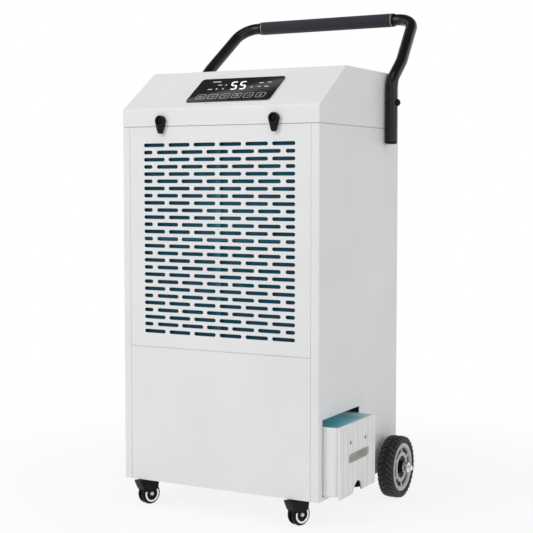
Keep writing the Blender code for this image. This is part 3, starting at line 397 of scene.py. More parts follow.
def gasket_rubber():
    """White foam tape in the open lines between panels: matt and slightly grey."""
    skin, tree, shader, place = finish("white_foam_tape", 0.8, IOR=1.45)
    tint(tree, shader, speckle(tree, place, 1.4, 3), "DCDCDB", "ECECEB")
    relief(tree, shader, speckle(tree, place, 0.9, 2), 0.05, 0.5)
    return skin


def pale_nylon():
    """Natural nylon, milky and glossy."""
    skin, tree, shader, place = finish("natural_nylon", 0.25, IOR=1.53)
    tint(tree, shader, speckle(tree, place, 4, 3), "DADDE0", "F4F6F7")
    relief(tree, shader, speckle(tree, place, 0.9, 2), 0.02, 0.4)
    return skin


POWDER = powder_coat()
WHITE = moulded_white()
POCKET = pocket_white()
ENAMEL = black_enamel()
BLACK = moulded_black()
GLASS = black_glass()
FOAM = foam_sleeve()
RUBBER = tyre_rubber()
# The tread is lighter grey than the carcass: partly scuffing, partly painted highlight on the
# blocks.
TREAD = tyre_rubber("scuffed_tread_rubber_painted_highlight", "24272B", "3F4348")
RIM = grey_rim()
CHROME = bright_chrome()
ZINC = zinc_plate()
COPPER = copper_pipe()
FINS = coil_fins()
NET = filter_net()
BOARD = circuit_board()
WATER = tank_water()
INK = screen_ink()
LIT = lit_segments()
NYLON = pale_nylon()
FRAME_WHITE = gloss_white()
TAPE = gasket_rubber()


# ---------------------------------------------------------------- making pieces
def mesh_of(bm, merge=1e-6):
    """Weld and shade smooth, but for faces square to an axis, which stay flat."""
    bmesh.ops.remove_doubles(bm, verts=bm.verts, dist=merge)
    bmesh.ops.recalc_face_normals(bm, faces=bm.faces)
    mesh = bpy.data.meshes.new("piece")
    bm.to_mesh(mesh)
    bm.free()
    for polygon in mesh.polygons:
        polygon.use_smooth = max(abs(part) for part in polygon.normal) < 0.9995
    return mesh


def put(name, mesh, skin, body, matrix=None, stands_for=(), smooth=32):
    """Finish a mesh as a named piece that rides on a body."""
    if matrix:
        mesh.transform(matrix)
    mesh.materials.clear()
    mesh.materials.append(skin)
    soft = [polygon.use_smooth for polygon in mesh.polygons]
    mesh.set_sharp_from_angle(angle=radians(smooth))
    mesh.polygons.foreach_set("use_smooth", soft)
    piece = bpy.data.objects.new(name, mesh)
    bpy.context.scene.collection.objects.link(piece)
    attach(piece, body)
    if stands_for:
        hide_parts(*stands_for)
    return piece


def turned(profile, steps=64):
    """A lathe form round Z from (radius, height); one that starts off the axis closes up."""
    bm = bmesh.new()
    verts = [bm.verts.new((radius, 0, height)) for radius, height in profile]
    edges = [bm.edges.new(pair) for pair in zip(verts, verts[1:])]
    if profile[0][0] > 0:
        edges.append(bm.edges.new((verts[-1], verts[0])))
    bmesh.ops.spin(bm, geom=verts + edges, axis=(0, 0, 1), cent=(0, 0, 0), steps=steps,
                   angle=2 * pi, use_merge=True)
    return mesh_of(bm)


def from_curve(curve):
    """The closed mesh of a curve."""
    holder = bpy.data.objects.new("holder", curve)
    bpy.context.scene.collection.objects.link(holder)
    bpy.context.view_layer.update()
    graph = bpy.context.evaluated_depsgraph_get()
    mesh = bpy.data.meshes.new_from_object(holder.evaluated_get(graph))
    bpy.data.objects.remove(holder)
    bm = bmesh.new()
    bm.from_mesh(mesh)
    return mesh_of(bm)


def flat(loops, thick, edge=0.0, rounds=2):
    """An outline with holes, thickened both ways about its plane, with rounded edges."""
    curve = bpy.data.curves.new("flat", "CURVE")
    curve.dimensions = "2D"
    curve.fill_mode = "BOTH"
    curve.extrude = thick / 2 - edge
    curve.bevel_depth = edge
    curve.bevel_resolution = rounds
    curve.offset = -edge
    for loop in loops:
        spline = curve.splines.new("POLY")
        spline.points.add(len(loop) - 1)
        for point, (across, up) in zip(spline.points, loop):
            point.co = (across, up, 0, 1)
        spline.use_cyclic_u = True
    return from_curve(curve)


def rods(lines, radius, rounds=2):
    """Round rods along lists of points; a line that ends where it starts is a ring."""
    curve = bpy.data.curves.new("rods", "CURVE")
    curve.dimensions = "3D"
    curve.bevel_depth = radius
    curve.bevel_resolution = rounds
    curve.use_fill_caps = True
    for line in lines:
        ring = (Vector(line[0]) - Vector(line[-1])).length < 1e-7
        points = line[:-1] if ring else line
        spline = curve.splines.new("POLY")
        spline.points.add(len(points) - 1)
        for point, where in zip(spline.points, points):
            point.co = (*where, 1)
        spline.use_cyclic_u = ring
    mesh = from_curve(curve)
    mesh.shade_smooth()
    return mesh


def block(low, high, edge=0.001, rounds=3):
    """A box with rounded edges."""
    low = Vector(low)
    high = Vector(high)
    bm = bmesh.new()
    size = Matrix.Diagonal((*(high - low), 1))
    bmesh.ops.create_cube(bm, size=1, matrix=Matrix.Translation((low + high) / 2) @ size)
    bmesh.ops.bevel(bm, geom=bm.edges[:], offset=edge, segments=rounds, profile=0.5,
                    affect="EDGES", clamp_overlap=True)
    return mesh_of(bm)


def layered(loops):
    """A skin through loops of equally many points, closed at both ends."""
    bm = bmesh.new()
    rows = [[bm.verts.new(point) for point in loop] for loop in loops]
    count = len(rows[0])
    for lower, upper in zip(rows, rows[1:]):
        for i in range(count):
            bm.faces.new((lower[i], lower[(i + 1) % count], upper[(i + 1) % count], upper[i]))
    bm.faces.new(rows[0])
    bm.faces.new(rows[-1])
    return mesh_of(bm)


def together(parts):
    """One mesh from several (mesh, matrix) pairs."""
    bm = bmesh.new()
    for mesh, matrix in parts:
        copy = mesh.copy()
        copy.transform(matrix)
        bm.from_mesh(copy)
    mesh = bpy.data.meshes.new("piece")
    bm.to_mesh(mesh)
    bm.free()
    return mesh


def carve(mesh, tools, operation="DIFFERENCE"):
    """Cut meshes out of a mesh, or join them to it."""
    body = bpy.data.objects.new("body", mesh)
    bpy.context.scene.collection.objects.link(body)
    helpers = []
    for tool in tools:
        helper = bpy.data.objects.new("tool", tool)
        bpy.context.scene.collection.objects.link(helper)
        helpers.append(helper)
        modifier = body.modifiers.new("cut", "BOOLEAN")
        modifier.operation = operation
        modifier.solver = "EXACT"
        modifier.object = helper
    bpy.context.view_layer.update()
    graph = bpy.context.evaluated_depsgraph_get()
    done = bpy.data.meshes.new_from_object(body.evaluated_get(graph))
    for obj in [body, *helpers]:
        bpy.data.objects.remove(obj)
    return done


def arc(centre, radius, start, end, steps):
    """Points on an arc, angles in degrees."""
    turns = [radians(start + (end - start) * i / steps) for i in range(steps + 1)]
    return [(centre[0] + radius * cos(turn), centre[1] + radius * sin(turn)) for turn in turns]


def circle(radius, steps=48):
    """Points round the origin."""
    return arc((0, 0), radius, 0, 360, steps)[:-1]


def stadium(left, right, middle, height, steps=14):
    """A slot with round ends."""
    radius = height / 2
    return (arc((right - radius, middle), radius, -90, 90, steps)
            + arc((left + radius, middle), radius, 90, 270, steps))


def rounded(x0, x1, y0, y1, radius, steps=8):
    """A rectangle with round corners."""
    points = arc((x1 - radius, y1 - radius), radius, 0, 90, steps)
    points += arc((x0 + radius, y1 - radius), radius, 90, 180, steps)
    points += arc((x0 + radius, y0 + radius), radius, 180, 270, steps)
    points += arc((x1 - radius, y0 + radius), radius, 270, 360, steps)
    return points


def rounded_path(corners, radii, steps):
    """Points along straight runs that arcs of the given radii join."""
    points = [corners[0]]
    for before, corner, after, radius in zip(corners, corners[1:], corners[2:], radii):
        back = (before - corner).normalized()
        ahead = (after - corner).normalized()
        half = back.angle(ahead) / 2
        centre = corner + (back + ahead).normalized() * radius / sin(half)
        first = corner + back * radius / tan(half) - centre
        last = corner + ahead * radius / tan(half) - centre
        swing = first.angle(last)
        for step in range(steps + 1):
            share = step / steps
            blend = first * sin((1 - share) * swing) + last * sin(share * swing)
            points.append(centre + blend / sin(swing))
    points.append(corners[-1])
    return points


def at(x, y, z, turn=None):
    """A shift, after an optional turn."""
    shift = Matrix.Translation((x, y, z))
    return shift @ turn if turn else shift


def cross_screw(radius, height):
    """Pan head with a cross recess, its face towards +Z and its seat at Z 0."""
    head = turned([(0, height), (radius * 0.45, height * 0.97), (radius * 0.8, height * 0.75),
                   (radius, height * 0.25), (radius, 0), (radius * 0.5, -height), (0, -height)], 24)
    arm = radius * 0.55
    wide = radius * 0.13
    bars = [block((-arm, -wide, height * 0.45), (arm, wide, height * 2), wide * 0.3, 1),
            block((-wide, -arm, height * 0.45), (wide, arm, height * 2), wide * 0.3, 1)]
    return carve(head, bars)


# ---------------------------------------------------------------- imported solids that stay
KEPT = {
    POWDER: ("left_side_panel", "right_side_panel", "rear_panel", "top_hood"),
    WHITE: ("drip_tray", "drain_spout", "tank_float"),
    BOARD: ("control_board",),
    ZINC: ("base_pan", "front_cross_rail", "handle_crossbar", "axle_bracket_left",
           "axle_bracket_right", "caster_left_plate", "caster_right_plate", "mid_shelf",
           "fan_shroud", "fan_motor", "motor_bracket", "compressor_mount", "electrical_box",
           "caster_left_axle", "caster_right_axle"),
    NET: ("air_filter",),
    FINS: ("evaporator_coil", "condenser_coil"),
    COPPER: ("suction_pipe", "discharge_pipe"),
    ENAMEL: ("compressor",),
    RIM: ("fan_impeller",),
}
for skin, names in KEPT.items():
    for name in names:
        nodes[name].data.materials.clear()
        nodes[name].data.materials.append(skin)


# ---------------------------------------------------------------- front panels
def grille_slots():
    """Stadium slots in long rows and staggered rows, top to bottom."""
    rows = 27
    top_row = 0.795
    row_step = 0.01555
    tall = 0.008
    field = 0.1845            # half width of the slotted field
    short_end = 0.1625        # where the short slots at the ends begin
    half_slot = 0.02675
    slots = []
    for row in range(rows):
        if row % 2 == 0:
            spans = [(-field + i * 0.0631, -0.131 + i * 0.0631) for i in range(6)]
        else:
            spans = [((i - 2) * 0.0622 - half_slot, (i - 2) * 0.0622 + half_slot)
                     for i in range(5)]
            spans += [(-field, -short_end), (short_end, field)]
        up = top_row - row * row_step
        slots += [stadium(left, right, up, tall, 8) for left, right in spans]
    return slots


def front_panels():
    """Both sheets with softly broken edges, and foam tape in the lines between panels."""
    middle = at(0, FRONT + SHEET / 2, 0, UPRIGHT)

    def sheet(z0, z1):
        return [(-FACE_HALF, z0), (FACE_HALF, z0), (FACE_HALF, z1), (-FACE_HALF, z1)]

    edge = 0.0004
    lower = flat([sheet(0.058, SEAM_LOW - GAP / 2)], SHEET, edge)
    put("lower_front_sheet", lower, POWDER, "cabinet", middle, ["front_lower_panel"])
    grille = flat([sheet(SEAM_LOW + GAP / 2, SEAM_HIGH - GAP / 2), *grille_slots()], SHEET, edge)
    put("grille_sheet", grille, POWDER, "cabinet", middle, ["front_grille_panel"])
    tapes = []
    for sign in (-1, 1):
        x = sign * (FACE_HALF + GAP / 2)
        tapes.append((block((x - 0.00075, FRONT + 0.0007, 0.060),
                            (x + 0.00075, FRONT + 0.0030, 0.834), 0.0003, 2), Matrix()))
    tapes.append((block((-FACE_HALF, FRONT + 0.0012, SEAM_LOW - 0.00075),
                        (FACE_HALF, FRONT + 0.0022, SEAM_LOW + 0.00075), 0.0003, 2), Matrix()))
    inset = 0.0019
    hoop = flat([rounded(-HALF + inset, HALF - inset, FRONT + inset, REAR - inset, 0.0025),
                 rounded(-HALF + 0.005, HALF - 0.005, FRONT + 0.005, REAR - 0.005, 0.0010)],
                0.0014, 0.0002, 1)
    tapes.append((hoop, at(0, 0, SEAM_HIGH)))
    put("panel_tapes", together(tapes), TAPE, "cabinet")


front_panels()


# ---------------------------------------------------------------- control panel
def on_slope(across, up, out):
    """A frame on the hood's slope, its Z out of the slope; sizes in metres."""
    y = FRONT + up * cos(SLOPE) - out * sin(SLOPE)
    z = FOLD_Z + up * sin(SLOPE) + out * cos(SLOPE)
    return at(across, y, z, Matrix.Rotation(SLOPE, 4, "X"))


def segment(x0, y0, x1, y1, wide):
    """One bar of a digit, with pointed ends."""
    along = Vector((x1 - x0, y1 - y0)).normalized()
    side = Vector((-along.y, along.x)) * wide / 2
    tip = along * wide / 2
    a = Vector((x0, y0)) + along * 0.3
    b = Vector((x1, y1)) - along * 0.3
    points = [a, a + tip + side, b - tip + side, b, b - tip - side, a + tip - side]
    return [(p.x, p.y) for p in points]


def digit_five(left, low, wide, tall):
    """The lit bars of a seven-bar five."""
    right = left + wide
    middle = low + tall / 2
    high = low + tall
    bar = 3.8
    return [segment(left, high, right, high, bar), segment(left, middle, left, high, bar),
            segment(left, middle, right, middle, bar), segment(right, low, right, middle, bar),
            segment(left, low, right, low, bar)]


def touch_panel():
    """Glass and frame with broken edges; the frame shows as a pale line round the glass."""
    glass = rounded(-GLASS_HALF, GLASS_HALF, -GLASS_RISE, GLASS_RISE, 0.008, 12)
    put("touch_glass", flat([glass], 0.0020, 0.0005, 3), GLASS, "cabinet",
        on_slope(GLASS_X, GLASS_UP, GLASS_OUT - 0.0010), ["display_glass"])
    rim = 0.0022
    plate = rounded(-GLASS_HALF - rim, GLASS_HALF + rim, -GLASS_RISE - rim, GLASS_RISE + rim,
                    0.008 + rim, 12)
    put("panel_frame", flat([plate], 0.0016, 0.0005, 3), FRAME_WHITE, "cabinet",
        on_slope(GLASS_X, GLASS_UP, 0.0011), ["control_backplate"])


def control_marks():
    """Lit digits, key outlines and signs, and plain bars, all a hair above the glass."""
    lift = 0.00005
    lean = -0.20
    bars = digit_five(-0.3, 64.6, 12.2, 29.8) + digit_five(21.3, 64.6, 12.2, 29.8)
    loops = [[((x + (y - 79.5) * lean) * MM, (y - GLASS_UP / MM) * MM) for x, y in bar]
             for bar in bars]
    put("humidity_digits", flat(loops, 0.0002), LIT, "cabinet",
        on_slope(0, GLASS_UP, GLASS_OUT + lift))

    key_x = (-56.5, -27.3, 2.6, 31.2, 59.8, 88.8)
    key_up = 37.2
    keys = []
    for x in key_x:
        loop = rounded((x - 10.2) * MM, (x + 10.2) * MM, (key_up - 9) * MM, (key_up + 9) * MM,
                       3.2 * MM, 5)
        keys.append([(a, b, 0) for a, b in [*loop, loop[0]]])
    put("key_outlines", rods(keys, 0.0005, 1), INK, "cabinet",
        on_slope(0, 0, GLASS_OUT) @ Matrix.Diagonal((1, 1, 0.3, 1)))

    def at_key(index, points):
        return [((key_x[index] + x) * MM, (key_up + y) * MM, 0) for x, y in points]

    symbols = [
        at_key(0, arc((0, -0.4), 3.6, 125, 415, 16)),
        at_key(0, [(0, 0.8), (0, 4.4)]),
        at_key(1, [(-3.4, -2.2), (0, 2.4), (3.4, -2.2)]),
        at_key(2, [(-3.4, 2.2), (0, -2.4), (3.4, 2.2)]),
        at_key(3, arc((0, 0), 4.0, 0, 360, 20)),
        at_key(3, [(0, 2.6), (0, 0), (2.0, 0)]),
        at_key(4, [(-3.6, -3), (-3.6, -1)]),
        at_key(4, [(0, -3), (0, 1)]),
        at_key(4, [(3.6, -3), (3.6, 3.2)]),
        at_key(5, [(0, 4.2)] + arc((0, -1.2), 2.9, 40, -220, 14) + [(0, 4.2)]),
    ]
    put("key_symbols", rods(symbols, 0.0005, 1), INK, "cabinet",
        on_slope(0, 0, GLASS_OUT) @ Matrix.Diagonal((1, 1, 0.3, 1)))

    marks = []
    for x, up, wide, tall in ((-45.2, 98, 21, 3.6), (-31, 83.8, 10.5, 3.2), (-48.6, 67, 11.5, 3.4),
                              (-32, 67.5, 3.6, 6), (-16.5, 67.5, 4.6, 4.6), (68.8, 87.3, 10.8, 3),
                              (88.2, 88, 9.6, 3), (52.6, 70.4, 4.6, 4.8), (70, 71.8, 8.8, 2.6),
                              (87.7, 71, 11, 3.4)):
        edge = min(wide, tall) * 0.3
        marks.append([(a * MM, b * MM) for a, b in rounded(
            x - wide / 2, x + wide / 2, up - tall / 2, up + tall / 2, edge, 3)])
    marks.append([(a * MM, b * MM) for a, b in ((-18.2, 81), (-12.4, 81), (-15.8, 86.6))])
    put("indicator_marks", flat(marks, 0.0002), INK, "cabinet",
        on_slope(0, 0, GLASS_OUT + lift))


touch_panel()
control_marks()


# ---------------------------------------------------------------- turn-catches
def catches():
    """Teardrop catches, each dished for the screw that it turns on."""
    head_r = 0.0115
    tip_r = 0.0055
    drop = 0.0225
    thick = 0.010
    lean = degrees(atan2(head_r - tip_r, drop))
    teardrop = arc((0, 0), head_r, -lean, 180 + lean, 30)
    teardrop += arc((0, -drop), tip_r, 180 + lean, 360 - lean, 12)
    screw = cross_screw(0.0058, 0.0026)
    for side, sign in (("left", -1), ("right", 1)):
        centre = at(sign * LATCH_X, FRONT - 0.0005 - thick / 2, LATCH_Z, UPRIGHT)
        dish = turned([(0, 0.02), (0.0082, 0.02), (0.0076, thick / 2 - 0.0012),
                       (0.0062, thick / 2 - 0.0039), (0, thick / 2 - 0.0039)], 40)
        put("catch_" + side, carve(flat([teardrop], thick, 0.0016, 4), [dish]), BLACK,
            "latch_" + side, centre, ["latch_" + side])
        put("catch_screw_" + side, screw.copy(), BLACK, "cabinet",
            at(sign * LATCH_X, FRONT - 0.0005 - thick + 0.0039, LATCH_Z, UPRIGHT),
            ["latch_screw_" + side])


catches()


# ---------------------------------------------------------------- push handle
def push_handle():
    """Bent tube, foam grip with its collars and bands, foot plugs and dome bolts."""
    toe_in_y = LEG_Y + (BAR_Y - LEG_Y) * (TOE_IN_Z - BEND_Z) / (BAR_Z - BEND_Z)
    right = [Vector((BAR_X, BAR_Y, BAR_Z)), Vector((LEG_X, toe_in_y, TOE_IN_Z)),
             Vector((LEG_X, LEG_Y, BEND_Z)), Vector((LEG_X, LEG_Y, LEG_FOOT_Z))]
    left = [Vector((-corner.x, corner.y, corner.z)) for corner in reversed(right)]
    path = rounded_path(left + right, (0.045, 0.120, 0.048, 0.048, 0.120, 0.045), 14)
    put("handle_tube_bent", rods([path], TUBE_R, 9), ENAMEL, "cabinet",
        stands_for=["handle_tube"], smooth=50)

    end = GRIP_HALF
    sleeve = [(0.0139, end - 0.0075), (GRIP_R - 0.0006, end - 0.0075), (GRIP_R, end - 0.0090),
              (GRIP_R, -end + 0.0090), (GRIP_R - 0.0006, -end + 0.0075), (0.0139, -end + 0.0075)]
    across = Matrix.Rotation(pi / 2, 4, "Y")
    put("grip_sleeve", turned(sleeve, 48), FOAM, "cabinet", at(0, BAR_Y, BAR_Z, across),
        ["handle_grip"])
    for side, sign in (("left", -1), ("right", 1)):
        collar = [(0.0139, 0.0), (0.0152, 0.0), (0.0158, 0.0008), (0.0158, 0.0026),
                  (0.0152, 0.0032), (0.0152, 0.0056), (0.0146, 0.0066), (0.0139, 0.0066)]
        turn = Matrix.Rotation(sign * pi / 2, 4, "Y")
        put("grip_collar_" + side, turned(collar, 48), BLACK, "cabinet",
            at(sign * (end - 0.0068), BAR_Y, BAR_Z, turn))
        band = [(0.0155, -0.0007), (GRIP_R - 0.0001, -0.0005), (GRIP_R - 0.0001, 0.0005),
                (0.0155, 0.0007)]
        put("grip_band_" + side, turned(band, 48), RIM, "cabinet",
            at(sign * (end - 0.0074), BAR_Y, BAR_Z, turn))
        plug = [(0, 0.010), (0.0110, 0.010), (0.0110, 0.0), (0.01345, -0.0002),
                (0.0134, -0.0016), (0.0125, -0.0032), (0.0100, -0.0044), (0, -0.0049)]
        put("foot_plug_" + side, turned(plug, 48), BLACK, "cabinet",
            at(sign * LEG_X, LEG_Y, LEG_FOOT_Z), ["handle_plug_" + side])
        seat = TUBE_R + 0.0003
        dome = [(0, seat + 0.0070), (0.0018, seat + 0.0069), (0.0040, seat + 0.0063),
                (0.0060, seat + 0.0050), (0.0074, seat + 0.0030), (0.0080, seat + 0.0012),
                (0.0080, seat - 0.0012), (0.0040, seat - 0.004), (0.0040, -0.040), (0, -0.040)]
        socket = flat([circle(0.0027, 6)], 0.008)
        socket.transform(at(0, 0, seat + 0.008))
        put("handle_bolt_dome_" + side, carve(turned(dome, 40), [socket]), BLACK, "cabinet",
            at(sign * LEG_X, LEG_Y, BOLT_Z, turn), ["handle_bolt_" + side])


push_handle()


# ---------------------------------------------------------------- rear wheels
def tread_blocks():
    """Two rows of slanted blocks round the tyre, as separate closed blocks."""
    count = 34
    pitch = 2 * pi / count
    bm = bmesh.new()
    for way in (-1, 1):
        for index in range(count):
            base = (index + (0.5 if way > 0 else 0)) * pitch
            rows = []
            for share in (0, 0.35, 0.7, 1):
                height = way * (0.0042 + 0.0126 * share)
                top = 0.0699 - 0.0016 * share ** 2
                start = base + 0.75 * pitch * share
                corners = []
                for turn, radius in ((start, top), (start + 0.56 * pitch, top),
                                     (start + 0.60 * pitch, top - 0.0032),
                                     (start - 0.04 * pitch, top - 0.0032)):
                    corners.append(bm.verts.new((radius * cos(turn), radius * sin(turn), height)))
                rows.append(corners)
            for lower, upper in zip(rows, rows[1:]):
                for i in range(4):
                    j = (i + 1) % 4
                    bm.faces.new((lower[i], lower[j], upper[j], upper[i]))
            bm.faces.new(rows[0])
            bm.faces.new(rows[-1])
    return mesh_of(bm, 1e-8)


def rear_wheels():
    """Tyres, windowed rims, and the through axle with its washers and nuts."""
    half = [(0.0548, 0.0150), (0.0560, 0.0168), (0.0580, 0.0175), (0.0584, 0.0179),
            (0.0592, 0.0179), (0.0597, 0.0175), (0.0640, 0.0178), (0.0662, 0.0168),
            (0.0674, 0.0150), (0.0679, 0.0110), (0.0681, 0.0036), (0.0692, 0.0032),
            (0.0695, 0.0024), (0.0695, 0.0)]
    carcass = half[:-1] + [(r, -h) for r, h in reversed(half)]
    band = [(0.0545, 0.0146), (0.0541, 0.0162), (0.0530, 0.0171), (0.0515, 0.0173),
            (0.0472, 0.0166), (0.0460, 0.0162), (0.0449, 0.0152), (0.0445, 0.0140),
            (0.0445, 0.0050), (0.0447, -0.0150), (0.0456, -0.0172), (0.0545, -0.0172)]
    ring = [(0.0332, 0.0130), (0.0327, 0.0142), (0.0315, 0.0148), (0.0268, 0.0148),
            (0.0254, 0.0142), (0.0248, 0.0130), (0.0248, 0.0060), (0.0332, 0.0060)]
    well = [(0.0064, 0.0193), (0.0118, 0.0193), (0.0132, 0.0182), (0.0140, 0.0120),
            (0.0150, 0.0100), (0.0200, 0.0112), (0.0440, 0.0112), (0.0440, 0.0030), (0.0170, 0.0030),
            (0.0160, -0.0185), (0.0064, -0.0185)]
    windows = []
    for index in range(6):
        start = index * 60 + 4
        windows.append(arc((0, 0), 0.0440, start, start + 52, 12)
                       + arc((0, 0), 0.0338, start + 52, start, 12))
    web = flat([circle(0.0450, 72), circle(0.0326, 72)], 0.0030, 0.0004, 1)
    web = carve(web, [flat([loop], 0.02) for loop in windows])
    nut = carve(flat([circle(0.0104 / cos(pi / 6), 6)], 0.0088),
                [turned([(0.0063, 0.02), (0.0063, -0.02), (0, -0.02), (0, 0.02)][::-1], 32)])
    chamfer = turned([(0, 0.0044), (0.0100, 0.0044), (0.0121, 0.0032), (0.0121, -0.0044),
                      (0, -0.0044)], 48)
    nut = carve(nut, [chamfer], "INTERSECT")
    for side, sign in (("left", -1), ("right", 1)):
        turn = Matrix.Rotation(sign * pi / 2, 4, "Y")
        here = at(sign * WHEEL_X, AXLE_Y, WHEEL_R, turn)
        body = "wheel_" + side
        put("tyre_carcass_" + side, turned(carcass, 96), RUBBER, body, here, ["tyre_" + side])
        put("tyre_tread_" + side, tread_blocks(), TREAD, body, here,
            smooth=20)
        put("rim_band_" + side, turned(band, 96), RIM, body, here, ["rim_" + side])
        put("rim_web_" + side, web.copy(), RIM, body, here @ at(0, 0, 0.0124))
        put("rim_ring_" + side, turned(ring, 72), RIM, body, here)
        put("hub_well_" + side, turned(well, 72), BLACK, body, here)
        washer = turned([(0.0062, 0.0), (0.0118, 0.0), (0.0118, 0.0015), (0.0062, 0.0015)], 48)
        put("axle_washer_" + side, washer, CHROME, "cabinet",
            at(sign * 0.2923, AXLE_Y, WHEEL_R, turn))
        put("hex_nut_" + side, nut.copy(), CHROME, "cabinet",
            at(sign * 0.2984, AXLE_Y, WHEEL_R, turn), ["axle_nut_" + side])
    end = [(0, 0.3110), (0.0048, 0.3108), (0.0056, 0.3100)]
    for index in range(16):
        height = 0.3095 - index * 0.00125
        end += [(0.0060, height), (0.0060, height - 0.0003), (0.0054, height - 0.0008)]
    end += [(0.0060, 0.2885)]
    rod = end + [(r, -h) for r, h in reversed(end)]
    put("axle_rod", turned(rod, 32), CHROME, "cabinet",
        at(0, AXLE_Y, WHEEL_R, Matrix.Rotation(pi / 2, 4, "Y")), ["rear_axle"])


rear_wheels()


# ---------------------------------------------------------------- casters
def caster_hood():
    """Hood over a middle web, with thin cheeks that cover the discs' upper part."""
    top = 0.0549
    nose = [(0.042, top), (0.0415, top - 0.003), (0.0345, CASTER_R + 0.013)]
    shape = [(0, top), *nose, (CASTER_TRAIL + 0.017, CASTER_R - 0.0035),
             (CASTER_TRAIL + 0.006, CASTER_R - 0.0115), (CASTER_TRAIL - 0.006, CASTER_R - 0.0115),
             (0, CASTER_R - 0.0035)]
    hood = flat([shape], 0.025, 0.0010, 3)
    hood.transform(SIDEWAYS)
    well = turned([(0, 0.0085), (0.0247, 0.0085), (0.0247, -0.0085), (0, -0.0085)], 64)
    wells = []
    for way in (-1, 1):
        tool = well.copy()
        tool.transform(at(way * 0.0115, CASTER_TRAIL, CASTER_R, Matrix.Rotation(pi / 2, 4, "Y")))
        wells.append(tool)
    hood = carve(hood, wells)
    cheek = [(-0.0062, top), *nose, (CASTER_TRAIL + 0.0175, CASTER_R + 0.0065)]
    cheek += arc((CASTER_TRAIL, CASTER_R), 0.0134, 24, 145, 16)
    cheek += [(CASTER_TRAIL - 0.0160, CASTER_R + 0.0108)]
    parts = [(hood, Matrix())]
    for way in (-1, 1):
        parts.append((flat([cheek], 0.0012, 0.0004, 2), at(way * 0.0130, 0, 0, SIDEWAYS)))
    boss_foot = 2 * CASTER_R + 0.0014        # clear of the discs' tread
    for radius, low, high in ((0.0075, boss_foot, top), (0.0040, 0.0500, 0.0577)):
        parts.append((turned([(0, high), (radius - 0.0004, high), (radius, high - 0.0004),
                              (radius, low), (0, low)], 32), Matrix()))
    return together(parts)


def casters():
    """Two hoods, each with a disc, ring and cap on either side of its web."""
    hood = caster_hood()
    disc = [(0, 0.0068), (0.0046, 0.0068), (0.0100, 0.0066), (0.0125, 0.0071), (0.0135, 0.0080),
            (0.0142, 0.0085), (0.0196, 0.0084), (0.0214, 0.0076), (0.0228, 0.0058),
            (0.0235, 0.0040), (0.0235, 0.0014), (0.0229, 0.0), (0.0033, 0.0), (0.0033, 0.0058),
            (0, 0.0058)]
    ring = [(0.0137, 0.0078), (0.0140, 0.0087), (0.0148, 0.0090), (0.0170, 0.0090),
            (0.0180, 0.0087), (0.0184, 0.0078)]
    cap = [(0, 0.0112), (0.0018, 0.0111), (0.0034, 0.0104), (0.0042, 0.0090), (0.0042, 0.0060),
           (0, 0.0060)]
    for side, sign in (("left", -1), ("right", 1)):
        swivel = at(sign * CASTER_X, CASTER_Y, 0, Matrix.Rotation(CASTER_TURN, 4, "Z"))
        put(f"caster_hood_{side}", hood.copy(), BLACK, "caster_" + side, swivel,
            [f"caster_{side}_body"])
        for name, way in (("inner", -1), ("outer", 1)):
            turn = Matrix.Rotation(way * pi / 2, 4, "Y")
            here = swivel @ at(way * 0.0033, CASTER_TRAIL, CASTER_R, turn)
            body = f"caster_{side}_{name}"
            put(f"caster_disc_{side}_{name}", turned(disc, 64), BLACK, body, here,
                [f"caster_{side}_{name}_wheel"])
            put(f"caster_ring_{side}_{name}", turned(ring, 64), CHROME, body, here)
            put(f"caster_cap_{side}_{name}", turned(cap, 32), NYLON, body, here)


casters()


# ---------------------------------------------------------------- water tank
def level(inset, z, radius):
    """One level of the tub's outline, drawn in by inset."""
    loop = rounded(TANK_X0 + inset, TUB_X1 - inset, TANK_Y0 + inset, TANK_Y1 - inset, radius, 8)
    return [(x, y, z) for x, y in loop]


def tank_tub():
    """Thin moulded tub, open above, with a rounded lip and a small draft."""
    wall = TANK_WALL
    loops = [level(0.006, TANK_Z0, 0.006), level(0.0022, TANK_Z0 + 0.0012, 0.008),
             level(0.0006, TANK_Z0 + 0.0045, 0.009), level(0.0003, TANK_Z1 - 0.0010, 0.009),
             level(0.0009, TANK_Z1, 0.009), level(wall - 0.0006, TANK_Z1, 0.008),
             level(wall, TANK_Z1 - 0.0008, 0.0075), level(wall + 0.0006, TANK_Z0 + 0.008, 0.0072),
             level(wall + 0.0040, TANK_Z0 + wall + 0.0006, 0.005),
             level(wall + 0.0070, TANK_Z0 + wall, 0.003)]
    return layered(loops)


